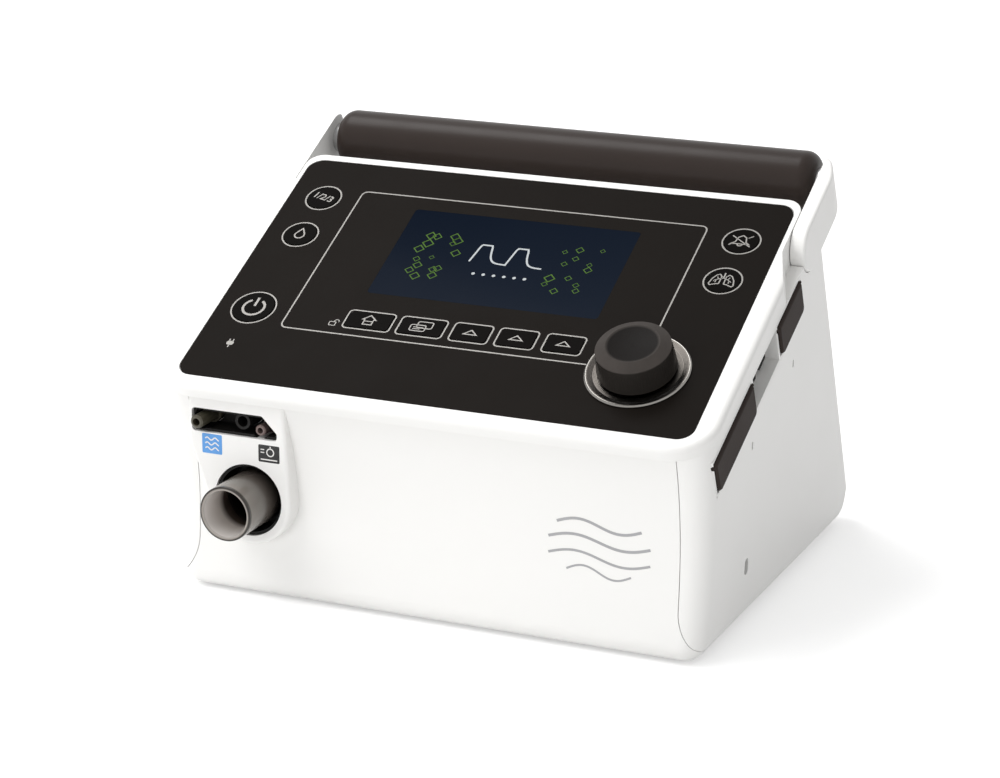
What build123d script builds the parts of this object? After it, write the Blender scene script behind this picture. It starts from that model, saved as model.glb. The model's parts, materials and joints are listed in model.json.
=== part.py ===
from build123d import *
import math
import os

os.makedirs("parts", exist_ok=True)

# Case. The side view hangs on the sloping deck: s runs up the deck, n stands out of it.
base_width = 222.0
top_width = 229.0
top_width_height = 150.0
wall = 2.5
foot_proud = 1.2
deck_slope = 27.3
deck_front_height = 91.2
deck_front_reach = 12.5
rim_overhang = 0.5
rim_side = 8.5
overlay_length = 135.3
overlay_corner = 6.5
overlay_thick = 1.0
rim_end = 6.8
rim_back = 3.6
rim_corner = 18.0
rim_back_corner = 7.0
rear_margin = 6.8
rim_thick = 5.5
rim_round = 2.4
heel_radius = 12.9
front_corner = 9.0
rear_corner = 8.0
lip_reach = 6.7
lip_height = 8.0
waist_reach = 4.2
waist_height = 38.0
brow_reach = 11.5
brow_height = 82.0
seam_height = 4.4
seam_gap = 0.3

# Front fascia, its port pad and the outlet
fascia_width = 202.0
fascia_skirt_height = 22.0
fascia_wrap = 14.0
pad_reach = 12.5
pad_left = -101.0
pad_right = -58.0
pad_back = 4.0
outlet_x = -75.0
outlet_z = 43.0
tube_radius = 11.0
tube_bore = 9.4
tube_proud = 19.0
tube_tail = 28.0
tail_radius = 11.6
opening_radius = 14.6
collar_radius = 18.2
collar_proud = 1.4
recess_left = -99.3
recess_right = -62.0
recess_slant = 6.5
recess_low = 68.5
recess_high = 78.0
recess_depth = 13.0
recess_corner = 1.6
socket_wall = 1.2
socket_recess = 1.5
socket_floor = 2.0
seal_length = 2.5
hose_start = 8.0
hose_end = 80.0
nozzle_root = 3.6
nozzle_radius = 2.7
nozzle_proud = 3.5
pressure_nozzle_at = (-95.4, 73.2)
sensor_socket_at = (-77.6, 74.4)
liner_wall = 1.0
liner_gap = 0.15
sensor_radius = 3.25
sensor_bore = 2.2
supply_root = 3.0
supply_radius = 2.2
supply_bore = 1.2
port_bore = 1.5
nozzle_seat = 3.0
port_floor = 1.0
liner_start = 1.5
supply_nozzle_at = (-70.0, 71.6)

# Keys, display and knob on the deck
key_radius = 7.88
power_radius = 9.6
key_ring = 0.9
key_gap = 0.25
key_proud = 0.4
key_travel = 0.5
key_flange = 1.0
key_flange_thick = 1.0
key_edge = 0.3
key_edge_x = 15.5
power_s = 41.4
lower_key_s = 87.4
upper_key_s = 111.3
soft_key_s = 41.75
soft_key_height = 10.0
soft_key_corner = 1.6
soft_flange = 0.8
soft_keys = [(-40.1, 19.6), (-17.5, 19.0), (3.4, 15.6), (22.5, 15.6), (42.0, 15.4)]
window_width = 98.0
window_height = 52.6
window_x = 0.8
window_s = 84.1
window_corner = 1.5
lcd_margin = 2.6
board_depth = 7.4
board_thick = 1.6
board_width = 200.0
board_start = 16.0
board_end = 116.0
board_posts = [(-96.0, 64.0), (96.0, 64.0), (-55.0, 21.0), (55.0, 21.0), (-66.0, 112.0), (66.0, 112.0)]
board_post_radius = 3.0
board_screw_radius = 1.2
board_screw_head = 2.6
board_screw_length = 4.4
dome_height = 0.5
dome_radius = 2.6
stem_radius = 2.0
knob_edge_x = 31.2
knob_s = 32.2
knob_ring_radius = 20.4
knob_ring_thick = 1.2
knob_base_radius = 15.3
knob_top_radius = 14.5
knob_lift = 0.9
knob_shoulder = 12.1
knob_height = 14.1
knob_dish_radius = 10.4
knob_dish_sink = 0.9
knob_wall = 1.7
knob_hub_radius = 6.0
knob_hub_top = 10.0
shaft_radius = 3.0
shaft_top = 11.0
shaft_collar_radius = 4.4
bushing_radius = 4.5
encoder_size = 13.0
encoder_depth = 7.0
plunger_radius = 4.8
plunger_thick = 1.5
run_gap = 0.05

# Carrying handle
pivot_s = 124.0
pivot_n = -10.0
grip_s = 163.2
arm_radius = 10.0
arm_thick = 6.0
arm_bow_start = 152.0
arm_bow_radius = 30.0
arm_edge = 1.2
arm_inset = 0.4
notch_start_s = 88.0
notch_end_s = 108.0
notch_depth = 12.0
grip_radius = 12.4
grip_end_round = 6.0
grip_end_gap = 2.8
bar_radius = 6.0
bar_seat = 1.6
pin_radius = 4.0
pin_head_radius = 6.0
pin_head_thick = 2.5
pin_reach = 4.4

# Right side: the port tub behind two rubber covers
tub_wall = 1.2
tub_depth = 9.0
tub_low = -29.9
tub_high = -12.1
tub_gap = 0.15
tub_divider = 1.6
front_cover_start = 2.8
front_cover_end = 47.2
rear_cover_start = 79.6
rear_cover_end = 107.4
cover_thick = 3.0
cover_proud = 1.2
cover_gap = 0.35
cover_edge = 0.7
cover_corner = 2.6
pintle_radius = 0.9
pintle_length = 1.0
socket_face = 4.8

# Rear panel
panel_width = 190.0
panel_start = 18.0
panel_end = 146.0
panel_flange = 3.0
panel_flange_thick = 2.0
panel_corner = 6.0
door_x = -53.0
door_depth = 77.0
door_width = 62.0
door_height = 40.0
door_thick = 3.0
door_gap = 0.35
louvre_count = 5
louvre_pitch = 5.5
louvre_width = 2.6
filter_thick = 6.0
duct_wall = 2.0
duct_top = 108.0
duct_front = 88.0
mains_x = 60.0
mains_depth = 128.0
mains_width = 27.0
mains_height = 20.0
mains_body = 16.0
mains_cavity = 13.0
mains_rim = 2.0
blade_size = (2.0, 5.0, 9.0)
vent_count = 9
vent_x = 50.0
vent_pitch = 6.0
vent_slot_width = 3.0
vent_slot_length = 34.0
vent_depth = 70.0

# Inside
blower_x = -53.0
blower_back = 118.0
blower_radius = 34.0
blower_wall = 2.0
blower_low = 27.0
blower_high = 59.0
spigot_front = 74.0
impeller_radius = 26.0
impeller_gap = 3.0
blade_count = 14
blade_thick = 1.4
hub_radius = 7.0
motor_radius = 18.0
motor_low = 10.0
eye_radius = 13.0
rotor_shaft_radius = 2.5
hose_wall = 2.4
mount_radius = 4.0
mount_ring = 13.0
battery_depth = 76.0
battery_height = 44.0
battery_gap = 0.5
battery_x = 42.0
battery_back = 53.0
supply_size = (86.0, 54.0, 38.0)
supply_x = 49.0
supply_back = 124.0
main_board_size = (112.0, 88.0)
main_board_x = 42.0
main_board_hole = 5.0
main_board_back = 48.0
main_board_height = 62.0
main_board_thick = 1.6
heat_sink_size = (30.0, 24.0, 6.0)
cell_corner = 3.0
board_corner = 2.0
speaker_rim = 2.0
speaker_dish = 1.5
post_radius = 3.5
speaker_radius = 16.0
speaker_x = -40.0
speaker_back = 40.0
speaker_height = 9.0
foot_radius = 7.0
foot_seat = 1.0
foot_x = 90.0
foot_front = 16.0
foot_back = 156.0
boss_radius = 4.5
boss_inset = 10.5
rib_thick = 2.4
boss_front = 24.0
boss_back = 146.0
boss_height = 34.0
screw_radius = 1.5
screw_head_radius = 3.0
screw_length = 14.0
side_slots = [(88.5, 95.0, 1.5, 3.2), (41.8, 74.6, 1.5, 3.2), (42.9, 25.4, 4.0, 6.5)]

rim_width = top_width + 2 * rim_overhang
overlay_width = rim_width - 2 * rim_side
key_x = overlay_width / 2 - key_edge_x
knob_x = overlay_width / 2 - knob_edge_x
slope = math.radians(deck_slope)
slope_cos = math.cos(slope)
slope_sin = math.sin(slope)
rear_s = overlay_length + rear_margin
floor_top = foot_proud + wall

# The origin is under the middle of the box that holds the outlet's mouth and the heel.
rear_drop = (deck_front_height + rear_s * slope_sin - foot_proud) / slope_cos
rear_corner_back = rear_s * slope_cos - deck_front_reach + rear_drop * slope_sin
base_depth = rear_corner_back - heel_radius / math.tan((math.pi / 2 - slope) / 2)
mouth_reach = pad_reach + tube_proud
base_front = (mouth_reach - base_depth - heel_radius) / 2
base_rear = base_front + base_depth
outlet_face = base_front - pad_reach
slot_floor = outlet_face + recess_depth
cup_back = base_front + pad_back
deck_y = base_front - deck_front_reach
lean = (top_width - base_width) / 2 / top_width_height


def on_deck(s, n=0.0):
    # Y and Z of the point s up the deck and n above it
    return (deck_y + s * slope_cos - n * slope_sin, deck_front_height + s * slope_sin + n * slope_cos)


def half_width(z, inset=0.0):
    return base_width / 2 + lean * z - inset


deck = Plane(origin=(0, deck_y, deck_front_height), x_dir=(1, 0, 0), z_dir=(0, -slope_sin, slope_cos))
deck_side = Plane(origin=(0, deck_y, deck_front_height), x_dir=(0, slope_cos, slope_sin), z_dir=(1, 0, 0))
rear_face = Plane(origin=(0, *on_deck(rear_s)), x_dir=(-1, 0, 0), z_dir=(0, slope_cos, slope_sin))
lean_angle = math.atan(lean)
lean_cos = math.cos(lean_angle)
lean_sin = math.sin(lean_angle)
flank = Plane(
    origin=(half_width(deck_front_height), deck_y, deck_front_height),
    x_dir=(slope_sin * lean_sin, slope_cos, slope_sin * lean_cos),
    z_dir=(lean_cos, 0, -lean_sin),
)
reach = 300.0


# Forms that several pieces share
def case_sides(inset):
    # the leaning flanks and the rear face with its rounded upright corners
    with BuildPart() as sides:
        with BuildSketch(Plane.XZ):
            Polygon(
                (-half_width(-reach, inset), -reach),
                (half_width(-reach, inset), -reach),
                (half_width(reach, inset), reach),
                (-half_width(reach, inset), reach),
                align=None,
            )
        extrude(amount=reach, both=True)
        split(bisect_by=rear_face.offset(-inset), keep=Keep.BOTTOM)
        on_rear = sides.edges().filter_by(lambda e: abs(rear_face.offset(-inset).to_local_coords(e.center()).Z) < 0.01)
        fillet(on_rear.filter_by(lambda e: abs(e.center().X) > base_width / 4), rear_corner - inset)
    return sides.part


def case_body(inset):
    with BuildPart() as body:
        with BuildSketch(Plane.YZ) as side:
            with BuildLine():
                waist = (base_front - waist_reach, waist_height)
                lower = TangentArc(waist, (base_front - lip_reach, foot_proud + lip_height), tangent=(0, -1))
                lip = TangentArc(lower @ 1, (base_front, foot_proud), tangent=lower % 1)
                face = TangentArc(waist, (base_front - brow_reach, brow_height), tangent=(0, 1))
                brow = Line(face @ 1, face @ 1 + 40 * (face % 1))
                crown = Line(brow @ 1, on_deck(rear_s, 60.0))
                back = Line(crown @ 1, on_deck(rear_s, -rear_drop))
                Line(back @ 1, lip @ 1)
            make_face()
            heel = side.vertices().sort_by(Axis.X)[-1]
            fillet(heel, heel_radius)
            if inset:
                offset(amount=-inset, kind=Kind.INTERSECTION)
        extrude(amount=reach, both=True)
        add(case_sides(inset), mode=Mode.INTERSECT)
        sides = body.edges().filter_by(lambda e: abs(e.center().X) > base_width / 2 - 6 and e.length > 4)
        fillet(sides.filter_by(lambda e: e.center().Y < base_front + 3), front_corner - inset)
        split(bisect_by=deck.offset(-rim_thick / 2 if not inset else -overlay_thick - wall), keep=Keep.BOTTOM)
    return body.part


# Seen square to the deck the rim narrows at its rear corners to let the handle's arms in.
def deck_outline(inset):
    half = rim_width / 2 - inset
    narrow = rim_width / 2 - arm_thick - arm_inset - inset
    with BuildSketch(deck) as outline:
        with BuildLine():
            Polyline(
                (-half, -rim_end + inset),
                (half, -rim_end + inset),
                (half, notch_start_s),
                (narrow, notch_end_s),
                (narrow, overlay_length + rim_back - inset),
                (-narrow, overlay_length + rim_back - inset),
                (-narrow, notch_end_s),
                (-half, notch_start_s),
                close=True,
            )
        make_face()
        fillet(outline.vertices().group_by(Axis.Y)[0], rim_corner - inset)
        fillet(outline.vertices().group_by(Axis.Y)[-1], rim_back_corner - inset)
    return outline.sketch


# Room for the arms: a round seat about the pivot that runs out over the rear edge.
def arm_rooms(grow):
    with BuildPart() as rooms:
        with BuildSketch(deck_side.offset(rim_width / 2 - arm_thick - arm_inset - grow)):
            with Locations((pivot_s, pivot_n)):
                Circle(arm_radius + arm_inset + grow)
                Rectangle(80, 2 * (arm_radius + arm_inset + grow), align=(Align.MIN, Align.CENTER))
                Rectangle(80, 60, align=(Align.MIN, Align.MIN))
        extrude(amount=40)
        mirror(about=Plane.YZ)
    return rooms.part


def above_notch(grow):
    with BuildPart() as scraps:
        with BuildSketch(deck.offset(-notch_depth - grow)):
            with Locations((0, notch_start_s - notch_depth)):
                Rectangle(2 * reach, reach, align=(Align.CENTER, Align.MIN))
        extrude(amount=reach)
        extrude(deck_outline(grow), amount=2 * notch_depth, both=True, mode=Mode.SUBTRACT)
    return scraps.part


def fascia_zone(grow):
    half = fascia_width / 2 + grow
    low = seam_height - 5 * grow
    tip = seam_height + 1 + grow
    with BuildPart() as zone:
        with BuildSketch(Plane.XZ.offset(-base_front - fascia_wrap)):
            with BuildLine():
                bend = (base_width / 2 - 3, seam_height + 2.6 + grow)
                right = TangentArc((half, fascia_skirt_height), bend, tangent=(0, -1))
                right_toe = TangentArc(right @ 1, (base_width / 2 + 6, tip), tangent=right % 1)
                left = TangentArc((-half, fascia_skirt_height), (-bend[0], bend[1]), tangent=(0, -1))
                left_toe = TangentArc(left @ 1, (-base_width / 2 - 6, tip), tangent=left % 1)
                Polyline(right @ 0, (half, 110), (-half, 110), left @ 0)
                Polyline(left_toe @ 1, (-base_width / 2 - 6, low), (base_width / 2 + 6, low), right_toe @ 1)
            make_face()
        extrude(amount=60)
        split(bisect_by=deck.offset(grow - seam_gap - rim_thick), keep=Keep.BOTTOM)
    return zone.part


def port_pad():
    with BuildPart() as pad:
        with BuildSketch(Plane.XZ.offset(-base_front - pad_back)):
            with BuildLine():
                bowl = CenterArc((outlet_x, outlet_z), collar_radius, -180, 180)
                Polyline(bowl @ 1, (pad_right, outlet_z + 22), (pad_right - 3, 110), (pad_left, 110),
                         (pad_left, outlet_z + 22), bowl @ 0)
            make_face()
        extrude(amount=pad_reach + pad_back)
        front = pad.faces().sort_by(Axis.Y)[0]
        fillet(front.edges().filter_by(lambda e: e.center().Z < 100), 1.6)
        split(bisect_by=deck.offset(-seam_gap - rim_thick), keep=Keep.BOTTOM)
    return pad.part


def slot_outline(back, inset):
    low = recess_low + inset
    high = recess_high - inset
    left = recess_left + inset
    right = recess_right - inset
    slant = recess_slant - (2 - math.sqrt(2)) * inset
    with BuildSketch(Plane.XZ.offset(-back)) as slot:
        with BuildLine():
            Polyline((left, low), (right, low), (right, high - slant), (right - slant, high), (left, high), close=True)
        make_face()
        fillet(slot.vertices(), recess_corner - 0.9 * inset)
    return slot.sketch


outer_body = case_body(0.0)
hollow = case_body(wall)
narrow_hollow = hollow - arm_rooms(wall) - above_notch(wall)

battery_size = (main_board_size[0] - 2 * (main_board_hole + post_radius + battery_gap), battery_depth, battery_height)
feet_at = [(x, base_front + y) for x in (-foot_x, foot_x) for y in (foot_front, foot_back)]
bosses_at = [
    (side * (half_width(seam_height, wall) - boss_inset), base_front + y)
    for side in (-1, 1)
    for y in (boss_front, boss_back)
]
posts_at = [
    (main_board_x + x, base_front + main_board_back + y)
    for x in (main_board_hole - main_board_size[0] / 2, main_board_size[0] / 2 - main_board_hole)
    for y in (main_board_hole - main_board_size[1] / 2, main_board_size[1] / 2 - main_board_hole)
]

# Base tray: the floor, the low wall under the seam, and the posts of the main board
with BuildPart() as base_tray:
    add(outer_body - hollow)
    split(bisect_by=Plane.XY.offset(seam_height), keep=Keep.BOTTOM)
    with BuildSketch(Plane.XY.offset(foot_proud)):
        with Locations(*feet_at):
            Circle(foot_radius + seam_gap)
    extrude(amount=foot_seat, mode=Mode.SUBTRACT)
    with BuildSketch(Plane.XY.offset(foot_proud)):
        with Locations((speaker_x, base_front + speaker_back)):
            with GridLocations(0, 4.0, 1, 6):
                SlotOverall(22, 2.0)
    extrude(amount=wall, mode=Mode.SUBTRACT)
    with BuildSketch(Plane.XY.offset(floor_top)):
        with Locations(*posts_at):
            Circle(post_radius)
    extrude(amount=main_board_height - floor_top)
    with BuildSketch(Plane.XY.offset(foot_proud)):
        with Locations(*bosses_at):
            Circle(screw_head_radius + seam_gap)
    extrude(amount=screw_head_radius / 2, mode=Mode.SUBTRACT)
    with BuildSketch(Plane.XY):
        with Locations(*bosses_at):
            Circle(screw_radius + run_gap)
    extrude(amount=seam_height + 1, mode=Mode.SUBTRACT)
base_tray.part.label = "base_tray"
export_step(base_tray.part, "parts/base_tray.step")

with BuildPart() as feet:
    with BuildSketch(Plane.XY):
        with Locations(*feet_at):
            Circle(foot_radius)
    extrude(amount=foot_proud + foot_seat)
    fillet(feet.edges().group_by(Axis.Z)[0], 0.5)
feet.part.label = "rubber_feet"
export_step(feet.part, "parts/rubber_feet.step")

with BuildPart() as case_screws:
    with BuildSketch(Plane.XY.offset(foot_proud + 0.1)):
        with Locations(*bosses_at):
            Circle(screw_head_radius)
    extrude(amount=screw_head_radius / 2 - 0.1)
    with BuildSketch(Plane.XY.offset(foot_proud + screw_head_radius / 2)):
        with Locations(*bosses_at):
            Circle(screw_radius)
    extrude(amount=screw_length)
case_screws.part.label = "case_screws"
export_step(case_screws.part, "parts/case_screws.step")

# Front fascia: concave face, bottom lip that wraps the corners, and the raised port pad
with BuildPart() as front_fascia:
    add((outer_body - hollow) & fascia_zone(0.0))
    add(port_pad())
    with BuildSketch(Plane.XZ.offset(-base_front - pad_back - 1)):
        with Locations((outlet_x, outlet_z)):
            Circle(opening_radius)
    extrude(amount=pad_back + pad_reach + 10, mode=Mode.SUBTRACT)
    extrude(slot_outline(slot_floor, 0.0), amount=recess_depth + 10, mode=Mode.SUBTRACT)
front_fascia.part.label = "front_fascia"
export_step(front_fascia.part, "parts/front_fascia.step")

# Control deck: what is cut through the deck wall
lcd_width = window_width + 2 * lcd_margin
lcd_height = window_height + 2 * lcd_margin
flange_low = overlay_thick + seam_gap + key_flange_thick
stem_end = board_depth - dome_height - key_travel - 0.1
round_keys = {
    "key_power": (-key_x, power_s, power_radius - key_ring),
    "key_humidifier": (-key_x, lower_key_s, key_radius - key_ring),
    "key_program": (-key_x, upper_key_s, key_radius - key_ring),
    "key_breath": (key_x, lower_key_s, key_radius - key_ring),
    "key_alarm_mute": (key_x, upper_key_s, key_radius - key_ring),
}
key_centres = [(x, s) for x, s, radius in round_keys.values()] + [(x, soft_key_s) for x, width in soft_keys]

# Housing: the moulded shell with its bezel, the handle's notches and every opening
with BuildPart() as housing:
    add(outer_body - arm_rooms(0.0) - above_notch(0.0))
    extrude(deck_outline(0.0), amount=-rim_thick)
    level = housing.faces().filter_by(lambda f: abs(f.normal_at().dot(deck.z_dir) - 1) < 0.001)
    top = level.filter_by(lambda f: abs(deck.to_local_coords(f.center()).Z) < 0.01)
    broad = top.edges().filter_by(lambda e: deck.to_local_coords(e.center()).Y < notch_start_s)
    fillet(broad, rim_round)
    add(narrow_hollow, mode=Mode.SUBTRACT)
    add(fascia_zone(seam_gap), mode=Mode.SUBTRACT)
    split(bisect_by=Plane.XY.offset(seam_height), keep=Keep.TOP)
    with BuildSketch(deck.offset(-overlay_thick)):
        with Locations((0, overlay_length / 2)):
            RectangleRounded(overlay_width + 2 * seam_gap, overlay_length + 2 * seam_gap, overlay_corner)
    extrude(amount=10, mode=Mode.SUBTRACT)
    with BuildSketch(deck):
        with Locations((window_x, window_s)):
            Rectangle(lcd_width + 2 * seam_gap, lcd_height + 2 * seam_gap)
        for x, s, radius in round_keys.values():
            with Locations((x, s)):
                Circle(radius + key_flange + seam_gap)
        for x, width in soft_keys:
            with Locations((x, soft_key_s)):
                Rectangle(width + 2 * (soft_flange + seam_gap), soft_key_height + 2 * (soft_flange + seam_gap))
        with Locations((knob_x, knob_s)):
            Circle(bushing_radius)
    extrude(amount=-10, mode=Mode.SUBTRACT)
    with BuildSketch(deck.offset(-board_depth)):
        with Locations(*board_posts):
            Circle(board_post_radius)
    extrude(amount=board_depth - overlay_thick - wall)
    with BuildSketch(deck.offset(-board_depth)):
        with Locations(*board_posts):
            Circle(board_screw_radius)
    extrude(amount=board_screw_length, mode=Mode.SUBTRACT)
    with BuildSketch(Plane.XY.offset(seam_height)):
        with Locations(*bosses_at):
            Circle(boss_radius)
        for x, y in bosses_at:
            with Locations((x + math.copysign(boss_inset / 2, x), y)):
                Rectangle(boss_inset + wall / 2, rib_thick)
    extrude(amount=boss_height)
    with BuildSketch(Plane.XY.offset(seam_height)):
        with Locations(*bosses_at):
            Circle(screw_radius)
    extrude(amount=screw_length + 1, mode=Mode.SUBTRACT)
    # rear opening
    with BuildSketch(rear_face.offset(-2 * wall)):
        with Locations((0, -(panel_start + panel_end) / 2)):
            RectangleRounded(panel_width, panel_end - panel_start, panel_corner)
    extrude(amount=3 * wall, mode=Mode.SUBTRACT)
    # window for the port tub
    with BuildSketch(flank.offset(-tub_depth - seam_gap)):
        with Locations((front_cover_start - tub_wall - cover_gap, tub_low)):
            Rectangle(rear_cover_end - front_cover_start + 2 * (tub_wall + cover_gap), tub_high - tub_low,
                      align=(Align.MIN, Align.MIN))
    extrude(amount=2 * tub_depth, mode=Mode.SUBTRACT)
    # bearing holes for the handle's pins
    with BuildSketch(deck_side):
        with Locations((pivot_s, pivot_n)):
            Circle(pin_radius)
    extrude(amount=reach, both=True, mode=Mode.SUBTRACT)
    # small slots low on the right side
    with BuildSketch(Plane.YZ.offset(base_width / 2 - 3 * wall)):
        for back, height, slot_width, slot_height in side_slots:
            with Locations((base_front + back, height)):
                RectangleRounded(slot_width, slot_height, 0.4 * slot_width)
    extrude(amount=6 * wall, mode=Mode.SUBTRACT)
housing.part.label = "housing"
export_step(housing.part, "parts/housing.step")

with BuildPart() as control_overlay:
    with BuildSketch(deck.offset(-overlay_thick)):
        with Locations((0, overlay_length / 2)):
            RectangleRounded(overlay_width, overlay_length, overlay_corner)
        with Locations((window_x, window_s)):
            RectangleRounded(window_width, window_height, window_corner, mode=Mode.SUBTRACT)
        for x, s, radius in round_keys.values():
            with Locations((x, s)):
                Circle(radius + key_gap, mode=Mode.SUBTRACT)
        for x, width in soft_keys:
            with Locations((x, soft_key_s)):
                RectangleRounded(width, soft_key_height, soft_key_corner, mode=Mode.SUBTRACT)
        with Locations((knob_x, knob_s)):
            Circle(bushing_radius, mode=Mode.SUBTRACT)
    extrude(amount=overlay_thick)
control_overlay.part.label = "control_overlay"
export_step(control_overlay.part, "parts/control_overlay.step")

with BuildPart() as display_window:
    with BuildSketch(deck.offset(-overlay_thick)):
        with Locations((window_x, window_s)):
            RectangleRounded(window_width - 2 * run_gap, window_height - 2 * run_gap, window_corner)
    extrude(amount=overlay_thick)
display_window.part.label = "display_window"
export_step(display_window.part, "parts/display_window.step")

with BuildPart() as lcd_module:
    with BuildSketch(deck.offset(-board_depth)):
        with Locations((window_x, window_s)):
            RectangleRounded(lcd_width, lcd_height, 1.0)
    extrude(amount=board_depth - overlay_thick)
lcd_module.part.label = "lcd_module"
export_step(lcd_module.part, "parts/lcd_module.step")

with BuildPart() as control_board:
    with BuildSketch(deck.offset(-board_depth - board_thick)):
        with Locations((0, (board_start + board_end) / 2)):
            RectangleRounded(board_width, board_end - board_start, 3.0)
        with Locations((knob_x, knob_s)):
            Circle(bushing_radius, mode=Mode.SUBTRACT)
        with Locations(*board_posts):
            Circle(board_screw_radius, mode=Mode.SUBTRACT)
    extrude(amount=board_thick)
    with BuildSketch(deck.offset(-board_depth)):
        with Locations(*key_centres):
            Circle(dome_radius)
    extrude(amount=dome_height)
control_board.part.label = "control_board"
export_step(control_board.part, "parts/control_board.step")

with BuildPart() as board_screws:
    with BuildSketch(deck.offset(-board_depth - board_thick)):
        with Locations(*board_posts):
            Circle(board_screw_radius)
    extrude(amount=board_thick + board_screw_length - 0.3)
    with BuildSketch(deck.offset(-board_depth - board_thick)):
        with Locations(*board_posts):
            Circle(board_screw_head)
    extrude(amount=-board_screw_head / 2)
board_screws.part.label = "board_screws"
export_step(board_screws.part, "parts/board_screws.step")

# Sprung keys: cap, hidden flange that keeps it in, and a stem over its switch dome
for name, (x, s, radius) in round_keys.items():
    with BuildPart() as key:
        with BuildSketch(deck.offset(-flange_low)):
            with Locations((x, s)):
                Circle(radius)
        extrude(amount=flange_low + key_proud)
        fillet(key.edges().sort_by(lambda e: deck.to_local_coords(e.center()).Z)[-1], key_edge)
        with BuildSketch(deck.offset(-flange_low)):
            with Locations((x, s)):
                Circle(radius + key_flange)
        extrude(amount=key_flange_thick)
        with BuildSketch(deck.offset(-stem_end)):
            with Locations((x, s)):
                Circle(stem_radius)
        extrude(amount=stem_end - flange_low)
    key.part.label = name
    export_step(key.part, f"parts/{name}.step")

for number, (x, width) in enumerate(soft_keys, 1):
    with BuildPart() as key:
        with BuildSketch(deck.offset(-flange_low)):
            with Locations((x, soft_key_s)):
                RectangleRounded(width - 2 * key_gap, soft_key_height - 2 * key_gap, soft_key_corner - key_gap)
        extrude(amount=flange_low + key_proud)
        crown = key.faces().sort_by(lambda f: deck.to_local_coords(f.center()).Z)[-1]
        fillet(crown.edges(), key_edge)
        with BuildSketch(deck.offset(-flange_low)):
            with Locations((x, soft_key_s)):
                Rectangle(width + 2 * soft_flange, soft_key_height + 2 * soft_flange)
        extrude(amount=key_flange_thick)
        with BuildSketch(deck.offset(-stem_end)):
            with Locations((x, soft_key_s)):
                Circle(stem_radius)
        extrude(amount=stem_end - flange_low)
    key.part.label = f"soft_key_{number}"
    export_step(key.part, f"parts/soft_key_{number}.step")

# Push-and-turn knob. Its section is drawn with r along X and n along Z of a plane through the axis.
knob_middle = on_deck(knob_s)
knob_section = Plane(origin=(knob_x, *knob_middle), x_dir=(1, 0, 0), z_dir=(0, -slope_cos, -slope_sin))
knob_axis = Axis((knob_x, *knob_middle), (0, -slope_sin, slope_cos))
knob_low = knob_ring_thick + knob_lift
plunger_top = board_depth + board_thick + encoder_depth / 2

with BuildPart() as knob_ring:
    with BuildSketch(knob_section):
        Polygon(
            (bushing_radius, 0),
            (knob_ring_radius, 0),
            (knob_ring_radius, 0.6 * knob_ring_thick),
            (knob_ring_radius - 0.5, knob_ring_thick),
            (knob_ring_radius - 1.2, knob_ring_thick),
            (knob_ring_radius - 3.2, 0.5 * knob_ring_thick),
            (bushing_radius, 0.5 * knob_ring_thick),
            align=None,
        )
    revolve(axis=knob_axis)
knob_ring.part.label = "knob_ring"
export_step(knob_ring.part, "parts/knob_ring.step")

with BuildPart() as knob_cap:
    with BuildSketch(knob_section):
        with BuildLine():
            side_line = Polyline(
                (0, knob_height - knob_dish_sink),
                (0, shaft_top),
                (shaft_radius, shaft_top),
                (shaft_radius, knob_low),
                (knob_hub_radius, knob_low),
                (knob_hub_radius, knob_hub_top),
                (knob_top_radius - knob_wall, knob_hub_top),
                (knob_base_radius - knob_wall, knob_low),
                (knob_base_radius, knob_low),
                (knob_top_radius, knob_shoulder),
                (knob_dish_radius, knob_height),
            )
            TangentArc(side_line @ 0, side_line @ 1, tangent=(1, 0))
        make_face()
    revolve(axis=knob_axis)
knob_cap.part.label = "knob_cap"
export_step(knob_cap.part, "parts/knob_cap.step")

with BuildPart() as knob_shaft:
    with BuildSketch(deck.offset(seam_gap - plunger_top)):
        with Locations((knob_x, knob_s)):
            Circle(shaft_radius)
    extrude(amount=plunger_top - seam_gap + shaft_top)
    with BuildSketch(deck.offset(seam_gap - plunger_top)):
        with Locations((knob_x, knob_s)):
            Circle(shaft_collar_radius)
    extrude(amount=1.0)
knob_shaft.part.label = "knob_shaft"
export_step(knob_shaft.part, "parts/knob_shaft.step")

with BuildPart() as encoder:
    with BuildSketch(deck.offset(-board_depth - board_thick - encoder_depth)):
        with Locations((knob_x, knob_s)):
            RectangleRounded(encoder_size, encoder_size, 1.0)
    extrude(amount=encoder_depth)
    with BuildSketch(deck.offset(-board_depth - board_thick)):
        with Locations((knob_x, knob_s)):
            Circle(bushing_radius)
    extrude(amount=board_depth + board_thick)
    with BuildSketch(deck.offset(seam_gap - plunger_top - plunger_thick - 2 * key_travel)):
        with Locations((knob_x, knob_s)):
            Circle(plunger_radius + seam_gap)
    extrude(amount=plunger_thick + 4 * key_travel + 1.0 - seam_gap, mode=Mode.SUBTRACT)
    with BuildSketch(deck.offset(-plunger_top)):
        with Locations((knob_x, knob_s)):
            Circle(shaft_radius + run_gap)
    extrude(amount=plunger_top + 10, mode=Mode.SUBTRACT)
encoder.part.label = "encoder"
export_step(encoder.part, "parts/encoder.step")

with BuildPart() as encoder_plunger:
    with BuildSketch(deck.offset(-plunger_top - plunger_thick)):
        with Locations((knob_x, knob_s)):
            Circle(plunger_radius)
    extrude(amount=plunger_thick)
encoder_plunger.part.label = "encoder_plunger"
export_step(encoder_plunger.part, "parts/encoder_plunger.step")

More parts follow.
